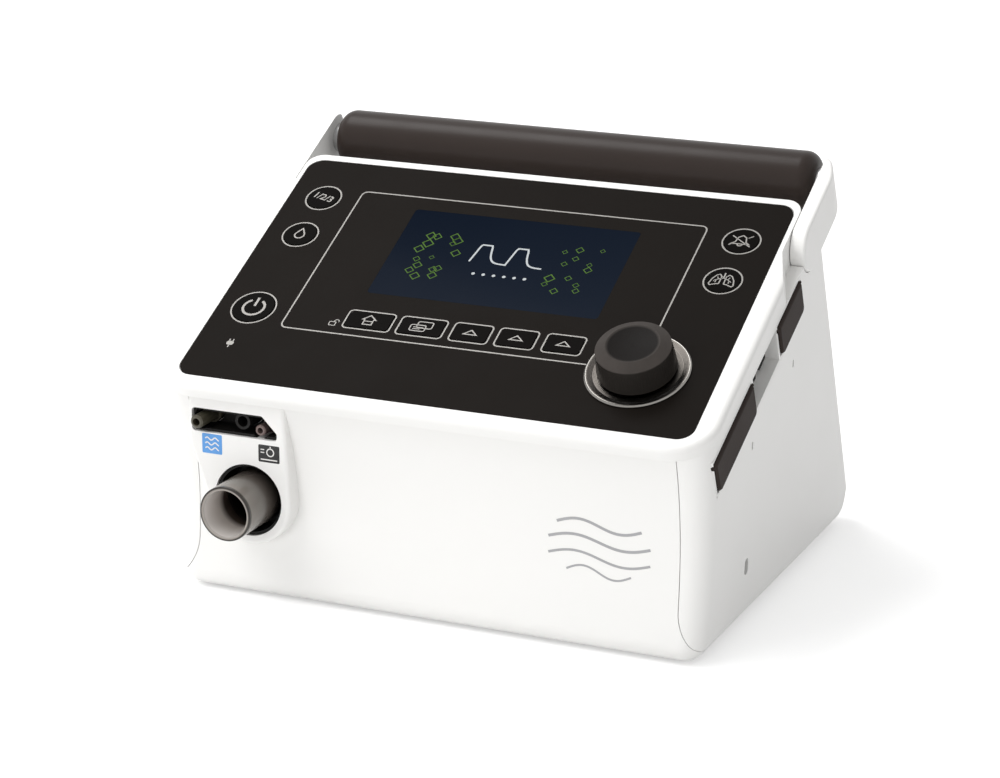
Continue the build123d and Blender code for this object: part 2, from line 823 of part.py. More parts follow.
# Carrying handle: two arms on pins, a bar between them and the soft grip over the bar
arm_inner = rim_width / 2 - arm_thick
for name, side in (("handle_arm_left", -1), ("handle_arm_right", 1)):
    with BuildPart() as arm:
        with BuildSketch(deck_side.offset(arm_inner)):
            with Locations((pivot_s, pivot_n), (grip_s, pivot_n)):
                Circle(arm_radius)
            with Locations(((pivot_s + grip_s) / 2, pivot_n)):
                Rectangle(grip_s - pivot_s, 2 * arm_radius)
        extrude(amount=arm_thick)
        with BuildSketch(deck):
            with BuildLine():
                bow_end = arm_bow_start + math.sqrt(arm_bow_radius**2 - (arm_bow_radius - arm_thick)**2)
                bow = TangentArc((rim_width / 2, arm_bow_start), (arm_inner, bow_end), tangent=(0, 1))
                Polyline(bow @ 0, (rim_width / 2, 0), (0, 0), (0, bow_end), bow @ 1)
            make_face()
        extrude(amount=reach / 2, both=True, mode=Mode.INTERSECT)
        fillet(arm.edges().filter_by(lambda e: e.center().X > rim_width / 2 - 0.6 * arm_thick and e.length > 2), arm_edge)
        with BuildSketch(deck_side.offset(arm_inner)):
            with Locations((pivot_s, pivot_n)):
                Circle(pin_radius + run_gap)
        extrude(amount=pin_reach + seam_gap, mode=Mode.SUBTRACT)
        with BuildSketch(deck_side.offset(arm_inner)):
            with Locations((grip_s, pivot_n)):
                Circle(bar_radius)
        extrude(amount=bar_seat, mode=Mode.SUBTRACT)
        if side < 0:
            mirror(about=Plane.YZ, mode=Mode.REPLACE)
    arm.part.label = name
    export_step(arm.part, f"parts/{name}.step")

with BuildPart() as handle_bar:
    with BuildSketch(deck_side):
        with Locations((grip_s, pivot_n)):
            Circle(bar_radius)
    extrude(amount=arm_inner + bar_seat, both=True)
handle_bar.part.label = "handle_bar"
export_step(handle_bar.part, "parts/handle_bar.step")

with BuildPart() as handle_grip:
    with BuildSketch(deck_side):
        with Locations((grip_s, pivot_n)):
            Circle(grip_radius)
    extrude(amount=arm_inner - grip_end_gap, both=True)
    fillet(handle_grip.edges().filter_by(GeomType.CIRCLE), grip_end_round)
    with BuildSketch(deck_side):
        with Locations((grip_s, pivot_n)):
            Circle(bar_radius)
    extrude(amount=arm_inner, both=True, mode=Mode.SUBTRACT)
handle_grip.part.label = "handle_grip"
export_step(handle_grip.part, "parts/handle_grip.step")

pin_wall = arm_inner - arm_inset - wall
with BuildPart() as handle_pins:
    with BuildSketch(deck_side.offset(pin_wall - pin_head_thick)):
        with Locations((pivot_s, pivot_n)):
            Circle(pin_head_radius)
    extrude(amount=pin_head_thick)
    with BuildSketch(deck_side.offset(pin_wall)):
        with Locations((pivot_s, pivot_n)):
            Circle(pin_radius)
    extrude(amount=arm_inner + pin_reach - pin_wall)
    mirror(about=Plane.YZ)
handle_pins.part.label = "handle_pins"
export_step(handle_pins.part, "parts/handle_pins.step")

# Patient outlet: a dark cup in the pad, the tube through its floor, seal and hose behind
with BuildPart() as outlet_socket:
    with BuildSketch(Plane.XZ.offset(-cup_back)):
        with Locations((outlet_x, outlet_z)):
            Circle(opening_radius)
    extrude(amount=cup_back - outlet_face - socket_recess)
    with BuildSketch(Plane.XZ.offset(socket_floor - cup_back)):
        with Locations((outlet_x, outlet_z)):
            Circle(opening_radius - socket_wall)
    extrude(amount=pad_back + pad_reach, mode=Mode.SUBTRACT)
    with BuildSketch(Plane.XZ.offset(-cup_back)):
        with Locations((outlet_x, outlet_z)):
            Circle(tail_radius)
    extrude(amount=pad_back, mode=Mode.SUBTRACT)
outlet_socket.part.label = "outlet_socket"
export_step(outlet_socket.part, "parts/outlet_socket.step")

with BuildPart() as outlet_tube:
    with BuildSketch(Plane.XZ.offset(-base_front - tube_tail)):
        with Locations((outlet_x, outlet_z)):
            Circle(tube_radius)
    extrude(amount=tube_tail + mouth_reach)
    with BuildSketch(Plane.XZ.offset(-base_front - tube_tail)):
        with Locations((outlet_x, outlet_z)):
            Circle(tail_radius)
    extrude(amount=tube_tail - pad_back + socket_floor)
    with BuildSketch(Plane.XZ.offset(-base_front - tube_tail)):
        with Locations((outlet_x, outlet_z)):
            Circle(tube_bore)
    extrude(amount=tube_tail + mouth_reach, mode=Mode.SUBTRACT)
    fillet(outlet_tube.edges().group_by(Axis.Y)[0], 0.5)
outlet_tube.part.label = "outlet_tube"
export_step(outlet_tube.part, "parts/outlet_tube.step")

with BuildPart() as outlet_seal:
    with BuildSketch(Plane.XZ.offset(-cup_back)):
        with Locations((outlet_x, outlet_z)):
            Circle(opening_radius)
            Circle(tail_radius, mode=Mode.SUBTRACT)
    extrude(amount=-seal_length)
outlet_seal.part.label = "outlet_seal"
export_step(outlet_seal.part, "parts/outlet_seal.step")

with BuildPart() as outlet_hose:
    with BuildSketch(Plane.XZ.offset(-base_front - hose_end)):
        with Locations((outlet_x, outlet_z)):
            Circle(tail_radius + hose_wall)
            Circle(tail_radius, mode=Mode.SUBTRACT)
    extrude(amount=hose_end - hose_start)
outlet_hose.part.label = "outlet_hose"
export_step(outlet_hose.part, "parts/outlet_hose.step")

# Small ports in the slot above the outlet, each through the dark liner and seated on the slot's floor
with BuildPart() as slot_liner:
    extrude(slot_outline(slot_floor, liner_gap), amount=recess_depth - liner_start)
    extrude(slot_outline(slot_floor - liner_wall, liner_gap + liner_wall), amount=recess_depth, mode=Mode.SUBTRACT)
    with BuildSketch(Plane.XZ.offset(-slot_floor)):
        with Locations(pressure_nozzle_at):
            Circle(nozzle_root + seam_gap)
        with Locations(sensor_socket_at):
            Circle(sensor_radius + seam_gap)
        with Locations(supply_nozzle_at):
            Circle(supply_root + seam_gap)
    extrude(amount=recess_depth, mode=Mode.SUBTRACT)
slot_liner.part.label = "slot_liner"
export_step(slot_liner.part, "parts/slot_liner.step")

with BuildPart() as pressure_nozzle:
    with BuildSketch(Plane.XZ.offset(-slot_floor)):
        with Locations(pressure_nozzle_at):
            Circle(nozzle_root)
    extrude(amount=nozzle_seat)
    with BuildSketch(Plane.XZ.offset(-slot_floor)):
        with Locations(pressure_nozzle_at):
            Circle(nozzle_radius)
    extrude(amount=recess_depth + nozzle_proud)
    chamfer(pressure_nozzle.edges().group_by(Axis.Y)[0], 0.6)
    with BuildSketch(Plane.XZ.offset(port_floor - slot_floor)):
        with Locations(pressure_nozzle_at):
            Circle(port_bore)
    extrude(amount=recess_depth + 10, mode=Mode.SUBTRACT)
pressure_nozzle.part.label = "pressure_nozzle"
export_step(pressure_nozzle.part, "parts/pressure_nozzle.step")

with BuildPart() as sensor_socket:
    with BuildSketch(Plane.XZ.offset(-slot_floor)):
        with Locations(sensor_socket_at):
            Circle(sensor_radius)
    extrude(amount=recess_depth - liner_start)
    with BuildSketch(Plane.XZ.offset(port_floor - slot_floor)):
        with Locations(sensor_socket_at):
            Circle(sensor_bore)
    extrude(amount=recess_depth, mode=Mode.SUBTRACT)
sensor_socket.part.label = "sensor_socket"
export_step(sensor_socket.part, "parts/sensor_socket.step")

with BuildPart() as supply_nozzle:
    with BuildSketch(Plane.XZ.offset(-slot_floor)):
        with Locations(supply_nozzle_at):
            Circle(supply_root)
    extrude(amount=nozzle_seat)
    with BuildSketch(Plane.XZ.offset(-slot_floor)):
        with Locations(supply_nozzle_at):
            Circle(supply_radius)
    extrude(amount=recess_depth - liner_start)
    chamfer(supply_nozzle.edges().group_by(Axis.Y)[0], 0.5)
    with BuildSketch(Plane.XZ.offset(port_floor - slot_floor)):
        with Locations(supply_nozzle_at):
            Circle(supply_bore)
    extrude(amount=recess_depth, mode=Mode.SUBTRACT)
supply_nozzle.part.label = "supply_nozzle"
export_step(supply_nozzle.part, "parts/supply_nozzle.step")

# Port tub behind the right side: two covered pockets and the open connector bay between them
tub_start = front_cover_start - tub_wall - cover_gap
tub_end = rear_cover_end + tub_wall + cover_gap
pockets = [
    (front_cover_start - cover_gap, front_cover_end + cover_gap),
    (front_cover_end + cover_gap + tub_divider, rear_cover_start - cover_gap - tub_divider),
    (rear_cover_start - cover_gap, rear_cover_end + cover_gap),
]
cover_low = tub_low + tub_wall + cover_gap
cover_high = tub_high - tub_wall - cover_gap
hinge_n = cover_high - cover_thick / 2
hinge_out = cover_proud - cover_thick / 2
hinge_side = Plane(origin=flank.origin, x_dir=flank.y_dir, z_dir=flank.x_dir)
with BuildPart() as port_tub:
    with BuildSketch(flank.offset(-tub_depth)):
        with Locations((tub_start + tub_gap, tub_low + tub_gap)):
            Rectangle(tub_end - tub_start - 2 * tub_gap, tub_high - tub_low - 2 * tub_gap,
                      align=(Align.MIN, Align.MIN))
    extrude(amount=tub_depth)
    rims = port_tub.edges().filter_by(lambda e: abs(flank.to_local_coords(e.center()).Z) < 0.01)
    chamfer(rims.sort_by(lambda e: flank.to_local_coords(e.center()).X)[0], 0.75 * tub_wall)
    with BuildSketch(flank.offset(tub_wall - tub_depth)):
        for start, end in pockets:
            with Locations((start, tub_low + tub_wall)):
                Rectangle(end - start, tub_high - tub_low - 2 * tub_wall, align=(Align.MIN, Align.MIN))
    extrude(amount=2 * tub_depth, mode=Mode.SUBTRACT)
    for start, end in (pockets[0], pockets[2]):
        with BuildSketch(hinge_side.offset(start - pintle_length)):
            with Locations((hinge_n, hinge_out)):
                Circle(pintle_radius + run_gap)
        extrude(amount=end - start + 2 * pintle_length, mode=Mode.SUBTRACT)
port_tub.part.label = "port_tub"
export_step(port_tub.part, "parts/port_tub.step")

for name, start, end in (
    ("port_cover_front", front_cover_start, front_cover_end),
    ("port_cover_rear", rear_cover_start, rear_cover_end),
):
    with BuildPart() as cover:
        with BuildSketch(hinge_side.offset(start)):
            with Locations((hinge_n, hinge_out)):
                Circle(cover_thick / 2)
                Rectangle(cover_thick / 2 + cover_high - cover_low - cover_thick, cover_thick,
                          align=(Align.MAX, Align.CENTER))
        extrude(amount=end - start)
        corners = cover.edges().filter_by(lambda e: abs(e.length - cover_thick) < 0.01)
        fillet(corners, cover_corner)
        outside = cover.faces().sort_by(lambda f: flank.to_local_coords(f.center()).Z)[-1]
        low_and_ends = outside.edges().filter_by(lambda e: flank.to_local_coords(e.center()).Y < hinge_n - 1)
        chamfer(low_and_ends, cover_edge)
        with BuildSketch(hinge_side.offset(start - cover_gap - pintle_length + 0.3)):
            with Locations((hinge_n, hinge_out)):
                Circle(pintle_radius)
        extrude(amount=end - start + 2 * (cover_gap + pintle_length - 0.3))
    cover.part.label = name
    export_step(cover.part, f"parts/{name}.step")

# Sockets on the tub's back wall
tub_middle = (tub_low + tub_high) / 2
for name, along, length, height in (
    ("data_socket", (pockets[0][0] + pockets[0][1]) / 2 - 8, 16.0, 8.0),
    ("remote_socket", (pockets[0][0] + pockets[0][1]) / 2 + 12, 9.0, 9.0),
    ("network_socket", pockets[1][0] + 8.5, 12.5, 11.0),
    ("card_socket", pockets[1][1] - 6.0, 8.0, 11.0),
    ("service_socket", (pockets[2][0] + pockets[2][1]) / 2, 14.0, 9.0),
):
    with BuildPart() as socket:
        with BuildSketch(flank.offset(tub_wall - tub_depth)):
            with Locations((along, tub_middle)):
                RectangleRounded(length, height, 0.8)
        extrude(amount=tub_depth - tub_wall - socket_face)
        with BuildSketch(flank.offset(tub_wall - tub_depth + 1)):
            with Locations((along, tub_middle)):
                RectangleRounded(length - 2.4, height - 2.4, 0.6)
        extrude(amount=tub_depth, mode=Mode.SUBTRACT)
    socket.part.label = name
    export_step(socket.part, f"parts/{name}.step")

# Rear panel with the vents, and what sits in its two openings
panel_middle = -(panel_start + panel_end) / 2
door_hinge_n = -door_depth - door_height / 2 + door_gap + door_thick / 2
with BuildPart() as rear_panel:
    with BuildSketch(rear_face.offset(-wall)):
        with Locations((0, panel_middle)):
            RectangleRounded(panel_width - 2 * seam_gap, panel_end - panel_start - 2 * seam_gap, panel_corner)
    extrude(amount=wall)
    with BuildSketch(rear_face.offset(-wall - panel_flange_thick)):
        with Locations((0, panel_middle)):
            RectangleRounded(panel_width + 2 * panel_flange, panel_end - panel_start + 2 * panel_flange,
                             panel_corner + panel_flange)
    extrude(amount=panel_flange_thick)
    with BuildSketch(rear_face.offset(-2 * wall)):
        with Locations((-vent_x, -vent_depth)):
            with GridLocations(0, vent_pitch, 1, vent_count):
                SlotOverall(vent_slot_length, vent_slot_width)
        with Locations((-door_x, -door_depth)):
            Rectangle(door_width, door_height)
        with Locations((-mains_x, -mains_depth)):
            Rectangle(mains_width, mains_height)
    extrude(amount=3 * wall, mode=Mode.SUBTRACT)
    with BuildSketch(deck_side.offset(door_x - door_width / 2 - pintle_length)):
        with Locations((rear_s - door_thick / 2, door_hinge_n)):
            Circle(pintle_radius + run_gap)
    extrude(amount=door_width + 2 * pintle_length, mode=Mode.SUBTRACT)
rear_panel.part.label = "rear_panel"
export_step(rear_panel.part, "parts/rear_panel.step")

with BuildPart() as filter_door:
    with BuildSketch(deck_side.offset(door_x - door_width / 2 + door_gap)):
        with Locations((rear_s - door_thick / 2, door_hinge_n)):
            Circle(door_thick / 2)
            Rectangle(door_thick, door_height - 2 * door_gap - door_thick / 2, align=(Align.CENTER, Align.MIN))
    extrude(amount=door_width - 2 * door_gap)
    with BuildSketch(rear_face.offset(-2 * wall)):
        with Locations((-door_x, -door_depth)):
            with GridLocations(0, louvre_pitch, 1, louvre_count):
                SlotOverall(0.75 * door_width, louvre_width)
    extrude(amount=3 * wall, mode=Mode.SUBTRACT)
    with BuildSketch(deck_side.offset(door_x - door_width / 2 - pintle_length + 0.3)):
        with Locations((rear_s - door_thick / 2, door_hinge_n)):
            Circle(pintle_radius)
    extrude(amount=door_width + 2 * (pintle_length - 0.3))
filter_door.part.label = "filter_door"
export_step(filter_door.part, "parts/filter_door.step")

with BuildPart() as intake_filter:
    with BuildSketch(rear_face.offset(-door_thick - seam_gap - filter_thick)):
        with Locations((-door_x, -door_depth)):
            Rectangle(door_width - 2 * run_gap, door_height - 2 * run_gap)
    extrude(amount=filter_thick)
intake_filter.part.label = "intake_filter"
export_step(intake_filter.part, "parts/intake_filter.step")

panel_back = rear_face.offset(-wall - panel_flange_thick)
duct_half = door_width / 2 + duct_wall
with BuildPart() as intake_duct:
    with BuildSketch(Plane.YZ.offset(door_x - duct_half)):
        with Locations((base_front + duct_front, blower_high)):
            Rectangle(2 * blower_back, duct_top - blower_high, align=(Align.MIN, Align.MIN))
    extrude(amount=2 * duct_half)
    with BuildSketch(Plane.YZ.offset(door_x - duct_half + duct_wall)):
        with Locations((base_front + duct_front + duct_wall, blower_high + duct_wall)):
            Rectangle(2 * blower_back, duct_top - blower_high - 2 * duct_wall, align=(Align.MIN, Align.MIN))
    extrude(amount=2 * (duct_half - duct_wall), mode=Mode.SUBTRACT)
    split(bisect_by=panel_back, keep=Keep.BOTTOM)
    with BuildSketch(Plane.XY.offset(blower_high)):
        with Locations((blower_x, base_front + blower_back)):
            Circle(eye_radius)
    extrude(amount=duct_wall, mode=Mode.SUBTRACT)
intake_duct.part.label = "intake_duct"
export_step(intake_duct.part, "parts/intake_duct.step")

with BuildPart() as mains_inlet:
    with BuildSketch(rear_face.offset(-mains_body)):
        with Locations((-mains_x, -mains_depth)):
            Rectangle(mains_width - 2 * run_gap, mains_height - 2 * run_gap)
    extrude(amount=mains_body)
    with BuildSketch(panel_back):
        with Locations((-mains_x, -mains_depth)):
            Rectangle(mains_width + 2 * mains_rim, mains_height + 2 * mains_rim)
    extrude(amount=-mains_rim)
    with BuildSketch(rear_face.offset(-mains_cavity)) as mouth:
        with Locations((-mains_x, -mains_depth)):
            Rectangle(mains_width - 4, mains_height - 4)
        chamfer(mouth.vertices().group_by(Axis.Y)[-1], 4.0)
    extrude(amount=mains_cavity + 1, mode=Mode.SUBTRACT)
    with BuildSketch(rear_face.offset(-mains_cavity)):
        with Locations((-mains_x - 7, -mains_depth - 2), (-mains_x + 7, -mains_depth - 2), (-mains_x, -mains_depth + 2)):
            Rectangle(blade_size[0], blade_size[1])
    extrude(amount=blade_size[2])
mains_inlet.part.label = "mains_inlet"
export_step(mains_inlet.part, "parts/mains_inlet.step")

# Blower on rubber mounts, and its rotor
blower_middle = (blower_x, base_front + blower_back)
blower_split = (blower_low + blower_high) / 2
with BuildPart() as blower_form:
    with BuildSketch(Plane.XY.offset(blower_low)):
        with Locations(blower_middle):
            Circle(blower_radius)
    extrude(amount=blower_high - blower_low)
    with BuildSketch(Plane.XZ.offset(-base_front - blower_back)):
        with Locations((outlet_x, blower_split)):
            Circle(tail_radius)
    extrude(amount=blower_back - spigot_front)
    with BuildSketch(Plane.XY.offset(blower_low + blower_wall)):
        with Locations(blower_middle):
            Circle(blower_radius - blower_wall)
    extrude(amount=blower_high - blower_low - 2 * blower_wall, mode=Mode.SUBTRACT)
    with BuildSketch(Plane.XZ.offset(-base_front - blower_back)):
        with Locations((outlet_x, blower_split)):
            Circle(tube_bore)
    extrude(amount=blower_back, mode=Mode.SUBTRACT)
    with BuildSketch(Plane.XY.offset(blower_split)):
        with Locations(blower_middle):
            Circle(eye_radius)
    extrude(amount=reach / 2, mode=Mode.SUBTRACT)
    with BuildSketch(Plane.XY):
        with Locations(blower_middle):
            Circle(rotor_shaft_radius + 1)
    extrude(amount=blower_split, mode=Mode.SUBTRACT)
for name, half in (("blower_lower", Keep.BOTTOM), ("blower_upper", Keep.TOP)):
    with BuildPart() as shell_half:
        add(blower_form.part)
        split(bisect_by=Plane.XY.offset(blower_split), keep=half)
    shell_half.part.label = name
    export_step(shell_half.part, f"parts/{name}.step")

wheel_low = blower_low + blower_wall + impeller_gap
wheel_high = blower_high - blower_wall - impeller_gap
with BuildPart() as impeller:
    with BuildSketch(Plane.XY.offset(wheel_low)):
        with Locations(blower_middle):
            Circle(impeller_radius)
    extrude(amount=2.0)
    with BuildSketch(Plane.XY.offset(wheel_low)):
        with Locations(blower_middle):
            with PolarLocations(0, blade_count):
                with Locations((hub_radius - 1, 0)):
                    Rectangle(impeller_radius - hub_radius, blade_thick, align=(Align.MIN, Align.CENTER))
    extrude(amount=wheel_high - wheel_low)
    with BuildSketch(Plane.XY.offset(wheel_low)):
        with Locations(blower_middle):
            Circle(hub_radius)
    extrude(amount=0.6 * (wheel_high - wheel_low))
    with BuildSketch(Plane.XY.offset(motor_low + 2.0)):
        with Locations(blower_middle):
            Circle(rotor_shaft_radius)
    extrude(amount=wheel_low - motor_low)
impeller.part.label = "impeller"
export_step(impeller.part, "parts/impeller.step")

with BuildPart() as blower_motor:
    with BuildSketch(Plane.XY.offset(motor_low)):
        with Locations(blower_middle):
            Circle(motor_radius)
    extrude(amount=blower_low - motor_low)
    with BuildSketch(Plane.XY.offset(motor_low + 1.5)):
        with Locations(blower_middle):
            Circle(rotor_shaft_radius + run_gap)
    extrude(amount=blower_low, mode=Mode.SUBTRACT)
blower_motor.part.label = "blower_motor"
export_step(blower_motor.part, "parts/blower_motor.step")

with BuildPart() as blower_mounts:
    with BuildSketch(Plane.XY.offset(floor_top)):
        with Locations(blower_middle):
            with PolarLocations(mount_ring, 3, start_angle=90):
                Circle(mount_radius)
    extrude(amount=motor_low - floor_top)
blower_mounts.part.label = "blower_mounts"
export_step(blower_mounts.part, "parts/blower_mounts.step")

# Battery, mains supply, main board and speaker
for name, size, x, back in (
    ("battery_pack", battery_size, battery_x, battery_back),
    ("power_supply", supply_size, supply_x, supply_back),
):
    with BuildPart() as block:
        with BuildSketch(Plane.XY.offset(floor_top)):
            with Locations((x, base_front + back)):
                RectangleRounded(size[0], size[1], cell_corner)
        extrude(amount=size[2])
        fillet(block.edges().group_by(Axis.Z)[-1], 1.0)
    block.part.label = name
    export_step(block.part, f"parts/{name}.step")

with BuildPart() as main_board:
    with BuildSketch(Plane.XY.offset(main_board_height)):
        with Locations((main_board_x, base_front + main_board_back)):
            RectangleRounded(main_board_size[0], main_board_size[1], board_corner)
    extrude(amount=main_board_thick)
    with BuildSketch(Plane.XY.offset(main_board_height + main_board_thick)):
        with Locations((main_board_x, base_front + main_board_back)):
            Rectangle(heat_sink_size[0], heat_sink_size[1])
    extrude(amount=heat_sink_size[2])
main_board.part.label = "main_board"
export_step(main_board.part, "parts/main_board.step")

with BuildPart() as speaker:
    with BuildSketch(Plane.XY.offset(floor_top)):
        with Locations((speaker_x, base_front + speaker_back)):
            Circle(speaker_radius)
    extrude(amount=speaker_height)
    with BuildSketch(Plane.XY.offset(floor_top)):
        with Locations((speaker_x, base_front + speaker_back)):
            Circle(speaker_radius - speaker_rim)
    extrude(amount=speaker_dish, mode=Mode.SUBTRACT)
speaker.part.label = "speaker"
export_step(speaker.part, "parts/speaker.step")
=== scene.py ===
import bpy
import bmesh
import json
import math
from mathutils import Matrix, Vector


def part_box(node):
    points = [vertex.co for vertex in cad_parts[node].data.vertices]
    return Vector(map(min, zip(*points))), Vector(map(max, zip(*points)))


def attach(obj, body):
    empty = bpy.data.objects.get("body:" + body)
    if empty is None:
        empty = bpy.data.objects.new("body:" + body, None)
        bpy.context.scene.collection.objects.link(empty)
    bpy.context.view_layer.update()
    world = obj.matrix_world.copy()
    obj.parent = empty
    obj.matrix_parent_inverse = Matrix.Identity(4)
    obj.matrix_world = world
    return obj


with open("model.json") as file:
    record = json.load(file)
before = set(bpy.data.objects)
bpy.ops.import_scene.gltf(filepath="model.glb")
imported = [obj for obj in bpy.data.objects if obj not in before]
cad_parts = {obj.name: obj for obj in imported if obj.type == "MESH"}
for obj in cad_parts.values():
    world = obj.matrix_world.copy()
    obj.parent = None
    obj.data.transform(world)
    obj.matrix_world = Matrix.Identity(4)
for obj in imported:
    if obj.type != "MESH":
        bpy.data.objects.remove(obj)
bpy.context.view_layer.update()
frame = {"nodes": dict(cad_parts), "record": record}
nodes = frame["nodes"]
print("frame loaded:", len(nodes), "pieces")

# The sloping deck, in millimetres: x to the right, s up the deck, n out of it
deck = {"slope": math.radians(27.3), "y": -89.5444, "z": 91.2}


def onDeck(x, s, n):
    c, k = math.cos(deck["slope"]), math.sin(deck["slope"])
    return Vector((x, deck["y"] + s * c - n * k, deck["z"] + s * k + n * c)) / 1000


# The front: a raised pad round the outlet, and a hollow of two arcs that meet at the waist
front = {"y": -77.0444, "padReach": 12.5, "waist": 38.0, "waistReach": 4.2,
         "radiusAbove": 136.25, "radiusBelow": 167.14}


def onPad(x, z, out):
    return Vector((x, front["y"] - front["padReach"] - out, z)) / 1000


def onFront(x, z, out):
    radius = front["radiusAbove"] if z > front["waist"] else front["radiusBelow"]
    y = front["y"] - front["waistReach"] - radius + math.sqrt(radius ** 2 - (z - front["waist"]) ** 2)
    return Vector((x, y - out, z)) / 1000


# The right side, which leans out a little towards the top
flank = {"x": 111.0, "lean": 7.0 / 300}


def onFlank(s, n, out):
    c, k = math.cos(deck["slope"]), math.sin(deck["slope"])
    y = deck["y"] + s * c - n * k
    z = deck["z"] + s * k + n * c
    return Vector((flank["x"] + flank["lean"] * z + out, y, z)) / 1000


def feed(tree, socket, value):
    # an output is linked to the socket, anything else is set on it
    if isinstance(value, bpy.types.NodeSocket):
        tree.links.new(value, socket)
    else:
        socket.default_value = value


def added(tree, kind, **values):
    # a new node with its inputs fed; an underscore stands for the space in a label
    node = tree.nodes.new(kind)
    for label, value in values.items():
        feed(tree, node.inputs[label.replace("_", " ")], value)
    return node


def maths(tree, operation, *values, kind="ShaderNodeMath"):
    node = tree.nodes.new(kind)
    node.operation = operation
    for socket, value in zip(node.inputs, values):
        feed(tree, socket, value)
    return node.outputs


def mixedColour(tree, a, b, factor=1.0, blend="MIX"):
    node = tree.nodes.new("ShaderNodeMix")
    node.data_type = "RGBA"
    node.blend_type = blend
    for label, value in (("Factor", factor), ("A", a), ("B", b)):
        feed(tree, node.inputs[label], value)
    return node.outputs["Result"]


def mouldedGrain():
    # grain, clouding and wear of a moulded or painted surface
    grainHeight, glossSpread = 0.0002, 0.12
    group = bpy.data.node_groups.new("mouldedGrain", "ShaderNodeTree")
    for label, value in (("Grain Scale", 900.0), ("Grain Depth", 0.1), ("Cloud Scale", 9.0), ("Cloud Amount", 0.04),
                         ("Wear Scale", 60.0)):
        socket = group.interface.new_socket(label, in_out="INPUT", socket_type="NodeSocketFloat")
        socket.default_value = value
    for label, kind in (("Tone", "NodeSocketFloat"), ("Gloss Shift", "NodeSocketFloat"),
                        ("Normal", "NodeSocketVector")):
        group.interface.new_socket(label, in_out="OUTPUT", socket_type=kind)
    given = group.nodes.new("NodeGroupInput").outputs
    coords = added(group, "ShaderNodeTexCoord").outputs["Object"]
    grain = added(group, "ShaderNodeTexNoise", Vector=coords, Scale=given["Grain Scale"], Detail=3.0)
    bump = added(group, "ShaderNodeBump", Distance=grainHeight, Strength=given["Grain Depth"],
                 Height=grain.outputs["Fac"])
    cloud = added(group, "ShaderNodeTexNoise", Vector=coords, Scale=given["Cloud Scale"], Detail=2.0)
    centred = maths(group, "SUBTRACT", cloud.outputs["Fac"], 0.5)[0]
    smear = added(group, "ShaderNodeTexNoise", Vector=coords, Scale=given["Wear Scale"], Detail=4.0)
    added(group, "NodeGroupOutput",
          Tone=maths(group, "MULTIPLY_ADD", centred, given["Cloud Amount"], 1.0)[0],
          Gloss_Shift=maths(group, "MULTIPLY_ADD", smear.outputs["Fac"], glossSpread, -glossSpread / 2)[0],
          Normal=bump.outputs["Normal"])
    return group


grainGroup = mouldedGrain()


def finish(name, colour, roughness, grain=(900, 0.08), cloud=(9, 0.05), wear=60, **sockets):
    # a material with the shared grain: grain is its scale and depth, cloud its scale and amount
    mat = bpy.data.materials.new(name)
    mat.use_nodes = True
    tree = mat.node_tree
    shader = tree.nodes["Principled BSDF"]
    surface = tree.nodes.new("ShaderNodeGroup")
    surface.node_tree = grainGroup
    for label, value in (("Grain Scale", grain[0]), ("Grain Depth", grain[1]), ("Cloud Scale", cloud[0]),
                         ("Cloud Amount", cloud[1]), ("Wear Scale", wear)):
        surface.inputs[label].default_value = value
    tinted = mixedColour(tree, (*colour, 1), surface.outputs["Tone"], blend="MULTIPLY")
    tree.links.new(tinted, shader.inputs["Base Color"])
    gloss = maths(tree, "ADD", surface.outputs["Gloss Shift"], roughness)[0]
    tree.links.new(gloss, shader.inputs["Roughness"])
    tree.links.new(surface.outputs["Normal"], shader.inputs["Normal"])
    for label, value in sockets.items():
        shader.inputs[label.replace("_", " ")].default_value = value
    return mat


def seenFrom(tree, place, turn=(0, 0, 0), size=(1, 1, 1)):
    # object coordinates measured from a place, turned and scaled with it
    coords = added(tree, "ShaderNodeTexCoord").outputs["Object"]
    node = added(tree, "ShaderNodeMapping", Location=place, Rotation=turn, Scale=size)
    node.vector_type = "TEXTURE"
    tree.links.new(coords, node.inputs["Vector"])
    return node.outputs["Vector"]


def distanceFromAxis(tree, coords, across):
    flat = maths(tree, "MULTIPLY", coords, across, kind="ShaderNodeVectorMath")["Vector"]
    return maths(tree, "LENGTH", flat, kind="ShaderNodeVectorMath")["Value"]


def distanceFromKnob(tree):
    coords = seenFrom(tree, knobStack["centre"], (deck["slope"], 0, 0))
    return distanceFromAxis(tree, coords, (1, 1, 0))


def recoloured(mat, factor, colour):
    # a second colour over the first one where the factor says so
    tree = mat.node_tree
    base = tree.nodes["Principled BSDF"].inputs["Base Color"]
    tree.links.new(mixedColour(tree, base.links[0].from_socket, (*colour, 1), factor), base)


def turned(mat, grooves):
    # fine grooves round the knob's axis
    tree = mat.node_tree
    waves = maths(tree, "MULTIPLY", distanceFromKnob(tree), 2 * math.pi / grooves["pitch"])[0]
    bump = added(tree, "ShaderNodeBump", Strength=grooves["strength"], Distance=grooves["height"],
                 Height=maths(tree, "SINE", waves)[0])
    tree.links.new(bump.outputs["Normal"], tree.nodes["Principled BSDF"].inputs["Normal"])
    return mat


def paintedShadeInside(mat, inner):
    # painted shade: a darker second colour nearer the knob's axis than the radius
    tree = mat.node_tree
    inside = added(tree, "ShaderNodeMapRange", Value=distanceFromKnob(tree),
                   From_Min=inner["radius"] + inner["blur"], From_Max=inner["radius"] - inner["blur"])
    recoloured(mat, inside.outputs["Result"], inner["colour"])
    return mat


